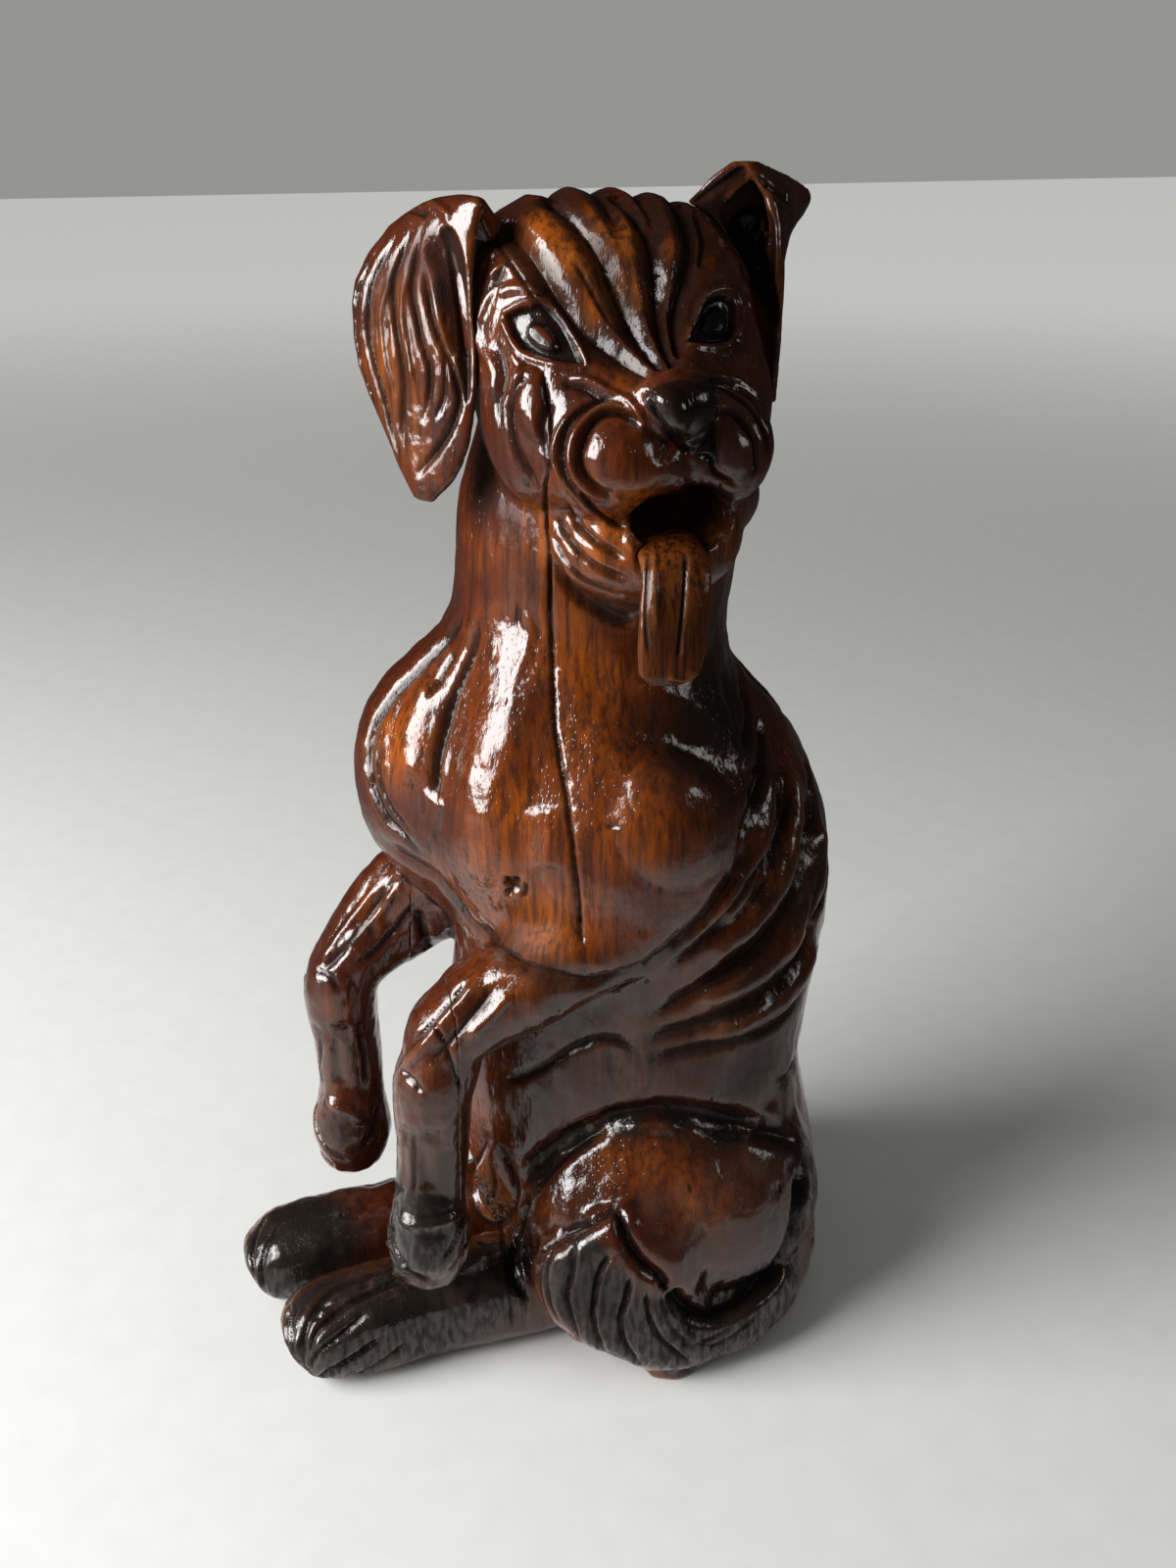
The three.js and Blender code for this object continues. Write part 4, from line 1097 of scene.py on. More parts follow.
    def tint(self, tone: Tone, places: dict[Point, np.ndarray]) -> None:
        """Brushes one tone on the wood.

        Args:
            tone: The tone.
            places: Where each dab lies in space.
        """
        mask = np.zeros(len(self.points))
        for patch in tone.dabs:
            if patch.at not in places:
                continue
            away = np.linalg.norm(self.points - places[patch.at], axis=1) / (patch.radius * MM)
            mask = np.maximum(mask, patch.strength * smoothstep(0, 0.85, 1 - away))
        write_mask(self.obj, tone.name, mask)

    def measure_relief(self) -> None:
        """Writes how hollow or proud each place is, from -1 to 1, in a fine and a broad mask."""
        points = coordinates(self.obj)
        outward = normals(self.obj)
        for name, rounds, full in self.RELIEF:
            depth = ((averaged(self.obj, points, rounds) - points) * outward).sum(1)
            write_mask(self.obj, name, np.clip(depth / (full * MM), -1, 1))


def find_places(carvings: list[Carving]) -> dict[Point, np.ndarray]:
    """Finds where on the figure each dab of a tone lies.

    Args:
        carvings: All forms under the tools.

    Returns:
        A place for each dab's pixel; a dab that misses the figure has none.
    """
    places = {}
    for dab in (dab for tone in TONES for dab in tone.dabs):
        start, way = PHOTO.ray(dab.at)
        hits = [carving.tree.ray_cast(start, way) for carving in carvings]
        hits = [hit for hit in hits if hit[0] is not None]
        if hits:
            places[dab.at] = np.array(min(hits, key=lambda hit: hit[3])[0])
    return places


class Shader:
    """A node tree under construction."""

    def __init__(self, tree: bpy.types.NodeTree) -> None:
        """Takes an empty node tree."""
        self.tree = tree

    def fill(self, node: bpy.types.Node, inputs: dict[str, object]) -> None:
        """Gives a node's inputs their values.

        Args:
            node: The node.
            inputs: Values or sockets, by input name with _ for a space, or in_ and a number.
        """
        for name, value in inputs.items():
            socket = node.inputs[int(name[3:]) if name.startswith("in_") else name.replace("_", " ")]
            if isinstance(value, Socket):
                self.tree.links.new(value, socket)
            else:
                socket.default_value = value

    def node(self, kind: str, settings: dict | None = None, **inputs: object) -> bpy.types.Node:
        """Adds a node.

        Args:
            kind: The node's type, without its prefix.
            settings: The node's own settings.
            inputs: Values or sockets, as fill takes them.

        Returns:
            The node.
        """
        made = self.tree.nodes.new("ShaderNode" + kind)
        for name, value in (settings or {}).items():
            setattr(made, name, value)
        self.fill(made, inputs)
        return made

    def math(self, operation: str, a: object, b: object = 0.0, clamp: bool = False) -> Socket:
        """Adds a math node over two values and gives its result."""
        return self.node("Math", {"operation": operation, "use_clamp": clamp}, in_0=a, in_1=b).outputs[0]

    def times(self, a: object, b: object) -> Socket:
        """Multiplies two values."""
        return self.math("MULTIPLY", a, b)

    def plus(self, a: object, b: object, clamp: bool = False) -> Socket:
        """Adds two values, and keeps the sum from 0 to 1 where that is asked for."""
        return self.math("ADD", a, b, clamp)

    def minus(self, a: object, b: object) -> Socket:
        """Takes the second value from the first."""
        return self.math("SUBTRACT", a, b)

    def mix(self, share: object, a: object, b: object) -> Socket:
        """Mixes two colours.

        Args:
            share: How much of the second colour there is.
            a: The first colour.
            b: The second colour.

        Returns:
            The mixed colour.
        """
        a, b = (colour if isinstance(colour, Socket) else (*colour, 1) for colour in (a, b))
        return self.node("Mix", {"data_type": "RGBA"}, in_0=share, in_6=a, in_7=b).outputs[2]

    def ramp(
        self, value: object, low: float, high: float, to_low: float = 0.0, to_high: float = 1.0
    ) -> Socket:
        """Maps a value smoothly from one range to another.

        Args:
            value: The value.
            low: Where the first range starts.
            high: Where it ends.
            to_low: What its start becomes.
            to_high: What its end becomes.

        Returns:
            The mapped value.
        """
        ends = {"From_Min": low, "From_Max": high, "To_Min": to_low, "To_Max": to_high}
        return self.node("MapRange", {"interpolation_type": "SMOOTHSTEP"}, Value=value, **ends).outputs[0]

    def noise(self, where: Socket, scale: float, detail: float, roughness: float = 0.5) -> Socket:
        """Adds cloudy noise and gives its value."""
        return self.node("TexNoise", Vector=where, Scale=scale, Detail=detail, Roughness=roughness).outputs[0]

    def drawn(self, where: Socket, share: float, lean: Place = (0.0, 0.0, 0.0)) -> Socket:
        """Draws a pattern out along Z, to 1 in share of its length."""
        return self.node("Mapping", Vector=where, Rotation=lean, Scale=(1.0, 1.0, share)).outputs[0]

    def mask(self, name: str) -> Socket:
        """Reads a mask that the carving wrote."""
        return self.node("Attribute", {"attribute_name": name, "attribute_type": "GEOMETRY"}).outputs["Fac"]

    def close(self, body: bpy.types.Node, kind: str = "OutputMaterial") -> None:
        """Joins the finished light to the tree's output."""
        self.tree.links.new(body.outputs[0], self.node(kind).inputs[0])


def start_material(name: str) -> tuple[bpy.types.Material, Shader]:
    """Makes an empty material.

    Args:
        name: Its name.

    Returns:
        The material and its tree under construction.
    """
    material = bpy.data.materials.new(name)
    material.use_nodes = True
    material.node_tree.nodes.clear()
    return material, Shader(material.node_tree)


class Effect:
    """A shader node group that several finishes share."""

    def __init__(self, name: str, inputs: dict[str, tuple[str, object]], outputs: tuple[str, ...]) -> None:
        """Makes the group and its sockets.

        Args:
            name: The group's name.
            inputs: Socket kind and first value, by name.
            outputs: The names of the values that it gives.
        """
        self.tree = bpy.data.node_groups.new(name, "ShaderNodeTree")
        for label, (kind, value) in inputs.items():
            socket = self.tree.interface.new_socket(label, in_out="INPUT", socket_type="NodeSocket" + kind)
            if value is not None:
                socket.default_value = value
        for label in outputs:
            self.tree.interface.new_socket(label, in_out="OUTPUT", socket_type="NodeSocketFloat")
        self.shader = Shader(self.tree)
        self.source = self.tree.nodes.new("NodeGroupInput").outputs
        self.sink = self.tree.nodes.new("NodeGroupOutput").inputs

    def give(self, label: str, value: Socket) -> None:
        """Joins a value to one of the group's outputs."""
        self.tree.links.new(value, self.sink[label])

    def place(self, shader: Shader, **inputs: object) -> bpy.types.bpy_prop_collection:
        """Puts the group into a finish.

        Args:
            shader: The finish.
            inputs: The group's values there.

        Returns:
            The group's outputs.
        """
        made = shader.tree.nodes.new("ShaderNodeGroup")
        made.node_tree = self.tree
        shader.fill(made, inputs)
        return made.outputs


def grain_effect() -> Effect:
    """Makes the long fibres, growth rings and pores of the timber, with the grain along Z.

    Returns:
        The effect.
    """
    inputs = {"Vector": ("Vector", None)}
    effect = Effect("timber_grain", inputs, ("Fibre", "Ring", "Pores"))
    s, where = effect.shader, effect.source["Vector"]
    fibre = s.noise(s.drawn(where, 0.045), 420.0, 5.0, 0.6)
    warp = s.noise(s.drawn(where, 0.22), 22.0, 3.0)
    parts = s.node("SeparateXYZ", Vector=where).outputs
    heart_off = s.plus(parts[1], 0.09)
    squares = s.plus(s.math("POWER", parts[0], 2.0), s.math("POWER", heart_off, 2.0))
    bent = s.plus(s.times(s.math("SQRT", squares), 900.0), s.times(warp, 26.0))
    ring = s.math("SINE", bent)
    pores = s.node("TexVoronoi", {"feature": "F1"}, Vector=s.drawn(where, 0.12), Scale=900.0)
    effect.give("Fibre", s.ramp(fibre, 0.3, 0.7))
    effect.give("Ring", s.ramp(ring, -1.0, 1.0))
    effect.give("Pores", s.ramp(pores.outputs["Distance"], 0.28, 0.08))
    return effect


def varnish_effect() -> Effect:
    """Makes the uneven skin of old varnish: ripple, dents, dust and rubbed places.

    Returns:
        The effect.
    """
    inputs = {"Vector": ("Vector", None), "Ripple": ("Float", 1.0)}
    effect = Effect("old_varnish", inputs, ("Height", "Dull", "Specks", "Dents"))
    s, where = effect.shader, effect.source["Vector"]
    leaning = s.drawn(where, 0.3, (0.25, -0.2, 0.0))
    dents = s.node("TexVoronoi", {"feature": "F1"}, Vector=leaning, Scale=105.0)
    worn = s.ramp(s.noise(where, 30.0, 2.0), 0.42, 0.62)
    effect.give("Dents", s.times(s.ramp(dents.outputs["Distance"], 0.17, 0.05), worn))
    ripple = s.noise(s.drawn(where, 0.5), 300.0, 2.0, 0.55)
    height = s.plus(s.times(ripple, effect.source["Ripple"]), s.times(s.noise(where, 110.0, 2.0), 1.1))
    effect.give("Height", s.plus(height, s.times(s.noise(where, 1100.0, 2.0), 0.07)))
    effect.give("Dull", s.ramp(s.noise(where, 38.0, 4.0), 0.35, 0.7))
    effect.give("Specks", s.ramp(s.noise(where, 520.0, 3.0, 0.7), 0.62, 0.74))
    return effect


@dataclass(frozen=True)
class Layers:
    """What one varnished finish is mixed from: where it lies, its grain and skin, and the carving's masks."""

    where: Socket
    wood: bpy.types.bpy_prop_collection
    skin: bpy.types.bpy_prop_collection
    blotch: Socket
    fine: Socket
    stain: Socket
    # Painted shade in hollows and grooves
    shaded_hollows: Socket
    # Dust film, with painted sheen where the pale floor is mirrored
    film: Socket


@dataclass(frozen=True)
class VarnishedWood:
    """Stained and varnished timber: colours by light, and how hard the grain and the varnish show."""

    name: str
    heart: Colour
    glow: Colour
    shade: Colour
    # Near-black of pores, dents and the painted shade in hollows
    near_black: Colour
    rub: Colour
    # Grey-brown of dust, also the painted sheen of the mirrored pale floor
    dust_and_sheen: Colour = (0.070, 0.046, 0.039)
    black_paint: Colour = (0.0014, 0.0016, 0.0018)
    brown_paint: Colour = (0.05, 0.010, 0.004)
    roughness: float = 0.42
    sheen: float = 0.07
    coat: float = 1.0
    coat_tint: Colour = (1.0, 0.86, 0.68)
    polish: float = 0.125
    ripple: float = 0.5
    grain: float = 0.5

    def layers(self, s: Shader, grain: Effect, varnish: Effect) -> Layers:
        """Lays out what the finish is mixed from.

        Args:
            s: The finish's tree.
            grain: The timber's grain.
            varnish: The varnish over it.

        Returns:
            The layers.
        """
        where = s.node("TexCoord").outputs["Object"]
        fine = s.mask("fine")
        # Painted shade: darker where the relief is hollow and where the carving painted shade
        shaded_hollows = s.plus(s.ramp(s.mask("broad"), 0.1, 0.9), s.times(s.ramp(fine, 0.15, 0.9), 0.7), clamp=True)
        return Layers(
            where=where,
            wood=grain.place(s, Vector=where),
            skin=varnish.place(s, Vector=where, Ripple=self.ripple),
            blotch=s.noise(where, 16.0, 5.0, 0.62),
            fine=fine,
            stain=s.mask("stain"),
            shaded_hollows=s.math("MAXIMUM", shaded_hollows, s.times(s.mask("painted_shade"), 0.8)),
            film=s.times(s.mask("dust_and_sheen"), s.ramp(s.noise(where, 90.0, 6.0), 0.3, 0.62)),
        )

    def colour(self, s: Shader, on: Layers) -> Socket:
        """Mixes the colour: timber, stain and painted shade, dust film and painted sheen, dirt in dents,
        painted shade in hollows, rubbed edges and paint.

        Args:
            s: The finish's tree.
            on: The layers.

        Returns:
            The colour.
        """
        fibre = on.wood["Fibre"]
        warm = s.plus(s.mask("amber"), s.ramp(on.blotch, 0.45, 0.72, 0.0, 0.6), clamp=True)
        # Dark stain, with painted shade on the shaded side and in creases
        dark = s.plus(on.stain, s.ramp(on.blotch, 0.5, 0.3, 0.0, 0.35), clamp=True)
        proud = s.times(s.ramp(on.fine, -0.25, -0.9), s.ramp(on.blotch, 0.35, 0.65))
        proud = s.times(proud, s.ramp(on.stain, 0.3, 1.0, 1.0, 0.15))
        colour = s.mix(s.times(warm, s.ramp(fibre, 0.0, 1.0, 0.45, 1.0)), self.heart, self.glow)
        for share, over in (
            (s.times(on.wood["Ring"], 0.35 * self.grain), self.shade),
            (s.times(s.ramp(fibre, 0.55, 0.0), self.grain), self.shade),
            (s.times(on.wood["Pores"], 0.75 * self.grain), self.near_black),
            (dark, self.shade),
            # Dust, and painted sheen of the mirrored floor
            (s.times(on.film, 0.5), self.dust_and_sheen),
            (s.times(on.skin["Dents"], 0.75), self.near_black),
            # Painted shade in hollows and grooves
            (s.times(on.shaded_hollows, 0.76), self.near_black),
            (s.times(proud, 0.55), self.rub),
            (s.times(on.skin["Specks"], 0.25), self.rub),
            (s.mask("near_black"), self.black_paint),
            (s.mask("brown"), self.brown_paint),
        ):
            colour = s.mix(share, colour, over)
        return colour

    def rough(self, s: Shader, on: Layers) -> Socket:
        """Gives the roughness under the varnish, more in hollows and under dust."""
        rough = s.plus(self.roughness, s.times(on.skin["Dull"], 0.16))
        return s.plus(s.plus(rough, s.times(on.shaded_hollows, 0.12)), s.times(on.film, 0.1))

    def relief(self, s: Shader, on: Layers) -> Socket:
        """Gives the height of grain, pores, varnish ripple, dust and dents.

        Args:
            s: The finish's tree.
            on: The layers.

        Returns:
            The height.
        """
        height = s.plus(on.skin["Height"], s.times(on.wood["Fibre"], 0.18 * self.grain))
        height = s.minus(height, s.times(on.wood["Pores"], 0.25 * self.grain))
        return s.minus(s.plus(height, s.times(on.film, 0.5)), s.times(on.skin["Dents"], 0.9))

    def gloss(self, s: Shader, on: Layers) -> Socket:
        """Gives how much varnish there is: less in hollows, where stain flakes, and on rubbed places.

        Args:
            s: The finish's tree.
            on: The layers.

        Returns:
            The share of varnish.
        """
        gloss = s.times(s.ramp(on.shaded_hollows, 0.45, 1.0, 1.0, 0.2), self.coat)
        flaking = s.ramp(s.noise(s.drawn(on.where, 0.3), 420.0, 4.0), 0.62, 0.36)
        flaking = s.times(flaking, s.ramp(on.stain, 0.3, 1.0, 0.0, 0.75))
        gloss = s.times(gloss, s.minus(1.0, flaking))
        gloss = s.times(gloss, s.ramp(on.film, 0.2, 1.0, 1.0, 0.45))
        gloss = s.times(gloss, s.ramp(s.mask("dull"), 0.0, 1.0, 1.0, 0.03))
        return s.times(gloss, s.ramp(s.mask("near_black"), 0.0, 1.0, 1.0, 0.9))

    def make(self, grain: Effect, varnish: Effect) -> bpy.types.Material:
        """Builds the material.

        Args:
            grain: The timber's grain.
            varnish: The varnish over it.

        Returns:
            The material.
        """
        material, s = start_material(self.name)
        on = self.layers(s, grain, varnish)
        bump = s.node("Bump", Strength=0.55, Distance=0.0008, Height=self.relief(s, on)).outputs[0]
        s.close(s.node(
            "BsdfPrincipled",
            Base_Color=self.colour(s, on),
            Roughness=self.rough(s, on),
            Normal=bump,
            IOR=1.45,
            Specular_IOR_Level=self.sheen,
            Coat_Weight=self.gloss(s, on),
            Coat_Roughness=self.polish,
            Coat_Tint=(*self.coat_tint, 1),
            Coat_Normal=bump,
        ))
        return material


@dataclass(frozen=True)
class PlainWood:
    """Bare timber that was never stained, as on dowels."""

    name: str
    colour: Colour
    streak: Colour

    def make(self, grain: Effect) -> bpy.types.Material:
        """Builds the material.

        Args:
            grain: The timber's grain.

        Returns:
            The material.
        """
        material, s = start_material(self.name)
        wood = grain.place(s, Vector=s.node("TexCoord").outputs["Object"])
        s.close(s.node(
            "BsdfPrincipled",
            Base_Color=s.mix(wood["Fibre"], self.streak, self.colour),
            Roughness=s.ramp(wood["Pores"], 0.0, 1.0, 0.55, 0.75),
            Normal=s.node("Bump", Strength=0.3, Distance=0.0004, Height=wood["Fibre"]).outputs[0],
        ))
        return material


MAHOGANY = VarnishedWood(
    name="varnished_wood",
    heart=(0.043, 0.0078, 0.0020),
    glow=(0.195, 0.051, 0.0036),
    shade=(0.0078, 0.0062, 0.0060),
    near_black=(0.0030, 0.0019, 0.0016),
    rub=(0.09, 0.033, 0.013),
)
TONGUE_WOOD = VarnishedWood(
    name="tongue_wood",
    heart=(0.068, 0.0155, 0.0028),
    glow=(0.155, 0.043, 0.0048),
    shade=(0.012, 0.004, 0.002),
    near_black=(0.003, 0.002, 0.002),
    rub=(0.09, 0.04, 0.013),
    coat=0.4,
    grain=0.9,
)
BARE_WOOD = PlainWood("plain_wood", (0.52, 0.33, 0.17), (0.36, 0.20, 0.09))


@dataclass(kw_only=True)
class Piece:
    """One visible piece of timber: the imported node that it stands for, its slot, and its form once made."""

    node: str
    slot: str
    triangles: int = 195000
    form: bpy.types.Object | None = None

    def level(self) -> None:
        """Planes the underside flat, so that the figure stands on the floor."""
        points = coordinates(self.form)
        points[:, 2] = np.maximum(points[:, 2], 0.0)
        set_coordinates(self.form, points)

    def thin(self) -> None:
        """Takes away faces where the form is plain, down to the number of triangles."""
        corners = np.empty(len(self.form.data.polygons), np.int32)
        self.form.data.polygons.foreach_get("loop_total", corners)
        triangles = int((corners - 2).sum())
        if triangles > self.triangles:
            apply_modifier(self.form, "DECIMATE", ratio=self.triangles / triangles)

    def dress(self, wood: bpy.types.Material) -> None:
        """Finishes the form and puts it in place of its node.

        Args:
            wood: Its finish.
        """
        self.level()
        self.thin()
        self.form.data.shade_smooth()
        self.form.data.materials.clear()
        self.form.data.materials.append(wood)
        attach(self.form, "root")
        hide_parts(self.node)
        log.info("%s: %d faces", self.node, len(self.form.data.polygons))


@dataclass(kw_only=True)
class Timber(Piece):
    """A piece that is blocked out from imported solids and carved. Its sizes are millimetres."""

    blocks: tuple[str, ...]
    voxel: float
    rounds: int
    groups: tuple[Passes, ...]
    rough: float = 1.0

    def block_out(self, nodes: Nodes) -> Carving:
        """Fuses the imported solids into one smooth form.

        Args:
            nodes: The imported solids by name.

        Returns:
            The form under the carver's tools.
        """
        solids = [nodes[name] for name in self.blocks]
        self.form = fused(self.node + "_wood", solids, self.voxel, self.rounds)
        self.prepare()
        return Carving(self.form)

    def prepare(self) -> None:
        """Works the fused form over before the carving; a small piece needs nothing."""

    def carve_unseen(self, carving: Carving) -> None:
        """Carves what the photograph doesn't show; a small piece has nothing there."""

    def carve(self, carving: Carving, places: dict[Point, np.ndarray]) -> None:
        """Carves and tints the form.

        Args:
            carving: The form under the tools.
            places: Where each dab of a tone lies.
        """
        for group in self.groups:
            carving.strokes(PHOTO, group)
        self.carve_unseen(carving)
        carving.strokes(PHOTO, SHADOW_GAPS)
        carving.settle(self.rough)
        for tone in TONES:
            carving.tint(tone, places)
        carving.measure_relief()


@dataclass(kw_only=True)
class Log(Timber):
    """The log with its limbs, carved in one and then sawn apart. Its sizes are millimetres."""

    eased: tuple[Dab, ...] = EASED
    ease_rounds: int = 70
    fine_above: float = 330
    # Middle and half sizes of the mouth's hollow, into which shade is painted
    mouth: tuple[Place, Place] = ((66, -14, 366), (30, 19, 13))
    kerf: float = 2

    def prepare(self) -> None:
        """Rubs hard edges down and refines the mesh of the head."""
        self.ease()
        select_faces(self.form, face_centres(self.form)[:, 2] > self.fine_above * MM)
        bpy.ops.mesh.subdivide(number_cuts=1)
        bpy.ops.object.mode_set(mode="OBJECT")
        apply_modifier(self.form, "SMOOTH", factor=0.5, iterations=3)
        log.info("blocked out: %d vertices", len(self.form.data.vertices))

    def ease(self) -> None:
        """Rubs hard edges of the blocked-out form down."""
        points = coordinates(self.form)
        tree = surface(self.form)
        share = np.zeros((len(points), 1))
        for patch in self.eased:
            middle = tree.ray_cast(*PHOTO.ray(patch.at))[0]
            if middle is None:
                continue
            away = np.linalg.norm(points - np.array(middle), axis=1) / (patch.radius * MM)
            share = np.maximum(share, smoothstep(1.0, 0.45, away)[:, None])
        rubbed = averaged(self.form, points, self.ease_rounds)
        set_coordinates(self.form, points * (1 - share) + rubbed * share)

    def carve_unseen(self, carving: Carving) -> None:
        """Carves the back, the crown and the right side, paints the nose black and paints shade into the
        mouth.

        Args:
            carving: The form under the tools.
        """
        carving.strokes(FROM_BEHIND, BEHIND)
        carving.strokes(FROM_BEHIND_ABOVE, CROWN)
        carving.strokes(FROM_THE_BACK, BACK)
        carving.strokes(FROM_THE_RIGHT, RIGHT_SIDE)
        carving.boss(Boss(NOSE_PAINT, 0, 1, near_black=0.9))
        # Painted shade in the mouth's hollow
        carving.paint_mouth_shade(*self.mouth)

    def score(self, limbs: list[Limb]) -> None:
        """Cuts the mesh along the planes of the glue lines, where the limbs cross them.

        Args:
            limbs: The glued-on limbs.
        """
        for face in sorted({limb.face for limb in limbs}):
            centres = face_centres(self.form) / MM
            chosen = np.zeros(len(centres), bool)
            for limb in (limb for limb in limbs if limb.face == face):
                chosen |= ((centres > limb.low) & (centres < limb.high)).all(1)
            select_faces(self.form, chosen & (abs(centres[:, 1] - face) < self.kerf))
            bpy.ops.mesh.bisect(plane_co=(0, face * MM, 0), plane_no=(0, 1, 0))
            bpy.ops.object.mode_set(mode="OBJECT")


@dataclass(kw_only=True)
class Limb(Piece):
    """A glued-on limb: the face of its glue line, the box round it, and the height from which it is told from
    the body by nearness. Millimetres."""

    face: float
    low: Place
    high: Place
    check: float

    def saw_off(self, body: bpy.types.Object, nodes: Nodes) -> None:
        """Takes the limb off the body along its glue line and closes it.

        Args:
            body: The figure in one piece.
            nodes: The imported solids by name.
        """
        limb_tree, log_tree = surface(nodes[self.node]), surface(nodes["carved_log"])
        centres = face_centres(body)
        high = (self.high[0], self.face, self.high[2])
        chosen = ((centres / MM > self.low) & (centres / MM < high)).all(1)
        for index in np.flatnonzero(chosen & (centres[:, 2] > self.check * MM)):
            spot = Vector(centres[index])
            chosen[index] = limb_tree.find_nearest(spot)[3] < log_tree.find_nearest(spot)[3]
        select_faces(body, chosen)
        bpy.ops.mesh.separate(type="SELECTED")
        bpy.ops.object.mode_set(mode="OBJECT")
        self.form = next(o for o in bpy.context.selected_objects if o is not body)
        close_rims(self.form)
        self.form.name = self.node + "_wood"


@dataclass(frozen=True)
class Dowels:
    """The hidden dowels, which stay as they were packed."""

    ending: str = "_dowel"

    def names(self, nodes: Nodes) -> tuple[str, ...]:
        """Gives the dowels' names."""
        return tuple(name for name in nodes if name.endswith(self.ending))

    def dress(self, nodes: Nodes, wood: bpy.types.Material) -> None:
        """Gives the dowels their finish.

        Args:
            nodes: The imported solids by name.
            wood: The finish.
        """
        for name in self.names(nodes):
            nodes[name].data.materials.clear()
            nodes[name].data.materials.append(wood)
            log.info("%s: left as packed", name)


@dataclass(frozen=True)
class Lamp:
    """A soft lamp: where it hangs, what it faces, its width and height in metres and its power in watts."""

    name: str
    place: Place
    target: Place
    size: tuple[float, float]
    power: float

    def build(self) -> None:
        """Hangs the lamp."""
        data = bpy.data.lights.new(self.name, "AREA")
        data.shape = "RECTANGLE"
        data.size, data.size_y = self.size
        data.energy = self.power
        lamp = bpy.data.objects.new(self.name, data)
        bpy.context.scene.collection.objects.link(lamp)
        lamp.location = self.place
        facing = Vector(self.target) - Vector(self.place)
        lamp.rotation_euler = facing.to_track_quat("-Z", "Y").to_euler()


@dataclass(frozen=True)
class Studio:
    """Plain floor, plain light and the camera. Sizes are metres."""

    view: Viewpoint = field(default_factory=Viewpoint)
    floor_size: float = 16
    lamps: tuple[Lamp, ...] = (
        Lamp("window", (0.14, -1.45, 0.84), (0.0, -0.02, 0.25), (1.05, 1.25), 84),
        Lamp("far_window", (0.8, 1.5, 0.9), (0.0, -0.02, 0.3), (0.5, 0.5), 3),
    )

    def build(self) -> None:
        """Sets up the camera, floor, lamps and backdrop."""
        self.camera()
        self.floor()
        for lamp in self.lamps:
            lamp.build()
        self.world()
        bpy.context.scene.view_settings.view_transform = "Standard"
        log.info("studio: %d lamps", len(self.lamps))

    def camera(self) -> None:
        """Puts the camera where the photograph was taken from."""
        camera = bpy.data.objects.new("camera", bpy.data.cameras.new("camera"))
        bpy.context.scene.collection.objects.link(camera)
        camera.location = self.view.place
        camera.rotation_euler = (self.view.tilt, 0, self.view.turn)
        camera.data.lens = self.view.lens
        camera.data.clip_start = 0.01
        camera.data.clip_end = 50
        bpy.context.scene.camera = camera

    def floor(self) -> None:
        """Lays the pale floor, which the varnish mirrors only close to the figure."""
        deselect()
        bpy.ops.mesh.primitive_plane_add(size=self.floor_size, location=(0, 0, 0))
        floor = bpy.context.object
        floor.name = "floor"
        material, s = start_material("floor")
        where = s.node("TexCoord").outputs["Object"]
        path = s.node("LightPath").outputs
        away = s.node("VectorMath", {"operation": "LENGTH"}, in_0=where).outputs["Value"]
        colour = s.mix(s.noise(where, 60.0, 4.0), (0.44, 0.44, 0.43), (0.49, 0.49, 0.478))
        mirrored = s.mix(s.ramp(away, 0.18, 0.6), (0.56, 0.56, 0.55), (0.05, 0.05, 0.05))
        s.close(s.node(
            "BsdfPrincipled",
            Base_Color=s.mix(path["Is Glossy Ray"], colour, mirrored),
            Roughness=0.7,
            Emission_Color=(1, 1, 0.99, 1),
            Emission_Strength=s.times(s.ramp(away, 0.4, 4.0, 0.0, 0.42), path["Is Camera Ray"]),
        ))
        floor.data.materials.append(material)

    @staticmethod
    def world() -> None:
        """Gives the room its even grey light, which the varnish mirrors darker."""
        world = bpy.data.worlds.new("room")
        world.use_nodes = True
        world.node_tree.nodes.clear()
        bpy.context.scene.world = world
        s = Shader(world.node_tree)
        path = s.node("LightPath").outputs
        dim = s.ramp(path["Is Glossy Ray"], 0.0, 1.0, 0.46, 0.03)
        shown = s.node("Background", Color=(0.30, 0.30, 0.295, 1), Strength=1.0).outputs[0]
        lit = s.node("Background", Color=(0.5, 0.5, 0.5, 1), Strength=dim).outputs[0]
        s.close(s.node("MixShader", in_0=path["Is Camera Ray"], in_1=lit, in_2=shown), "OutputWorld")


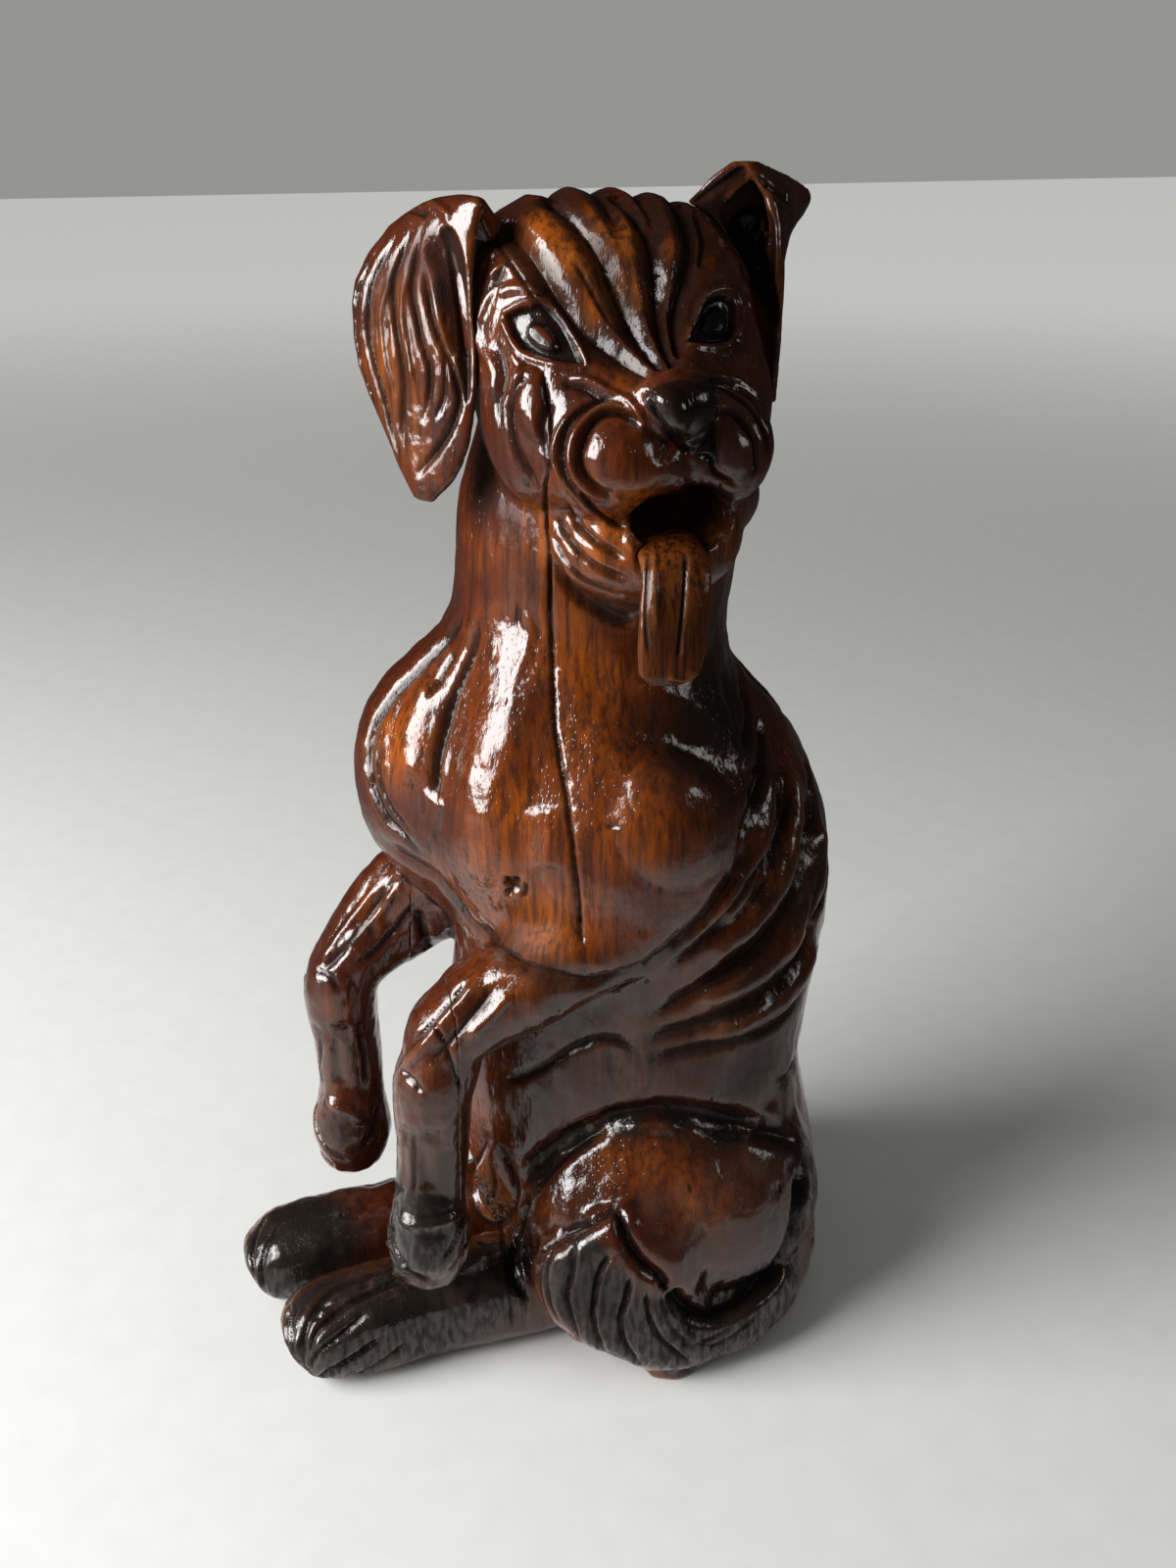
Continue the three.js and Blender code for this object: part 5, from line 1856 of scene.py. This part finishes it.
def make_limbs() -> list[Limb]:
    """Lays out the glued-on limbs.

    Returns:
        The limbs, in the order in which they are sawn off.
    """
    leg, foot = {"slot": "varnished_wood", "face": -99}, {"slot": "dark_stained_wood", "face": -71}
    return [
        Limb(node="left_foreleg", low=(14, -150, 44), high=(90, 0, 230), check=170, **leg),
        Limb(node="right_foreleg", low=(-80, -170, 44), high=(0, 0, 230), check=150, **leg),
        Limb(node="left_hind_foot", low=(3.5, -190, -5), high=(90, 0, 60), check=38, **foot),
        Limb(node="right_hind_foot", low=(-80, -190, -5), high=(3.5, 0, 60), check=38, **foot),
    ]


def make_timbers(joined: list[str]) -> list[Timber]:
    """Lays out the pieces that are blocked out and carved.

    Args:
        joined: The solids that are carved in one with the log.

    Returns:
        The log, the two ears and the tongue.
    """
    voxel, rounds = ((1.2, 24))
    ear = {"slot": "ear_wood", "voxel": voxel * 0.65, "rounds": 14, "rough": 0.7}
    return [
        Log(
            node="carved_log", slot="varnished_wood", blocks=("carved_log", *joined),
            voxel=voxel, rounds=rounds,
            groups=(BROW, EYES, LIDS, FACE, CHEEKS, TORSO, FORELEGS, FEET, HAUNCH),
        ),
        Timber(node="right_ear", blocks=("right_ear", "right_ear_dowel"), groups=(RIGHT_EAR,), **ear),
        Timber(node="left_ear", blocks=("left_ear", "left_ear_dowel"), groups=(LEFT_EAR,), **ear),
        Timber(
            node="tongue", slot="tongue_wood", blocks=("tongue",),
            voxel=voxel * 0.5, rounds=10, rough=0.4, groups=(TONGUE,),
        ),
    ]


def main() -> None:
    """Builds the figure's pieces in order, and then the studio round them."""
    logging.basicConfig(level=logging.INFO, format="%(message)s")
    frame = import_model()
    nodes = frame["nodes"]
    limbs, dowels = make_limbs(), Dowels()
    timbers = make_timbers([limb.node for limb in limbs] + list(dowels.names(nodes)))
    carvings = [timber.block_out(nodes) for timber in timbers]
    places = find_places(carvings)
    for timber, carving in zip(timbers, carvings):
        timber.carve(carving, places)
    body = timbers[0]
    body.score(limbs)
    for limb in limbs:
        limb.saw_off(body.form, nodes)
    close_rims(body.form)
    grain, varnish = grain_effect(), varnish_effect()
    wood, tongue_wood = MAHOGANY.make(grain, varnish), TONGUE_WOOD.make(grain, varnish)
    for piece in (*timbers, *limbs):
        piece.dress(tongue_wood if piece.node == "tongue" else wood)
    dowels.dress(nodes, BARE_WOOD.make(grain))
    Studio().build()


if __name__ == "__main__":
    main()
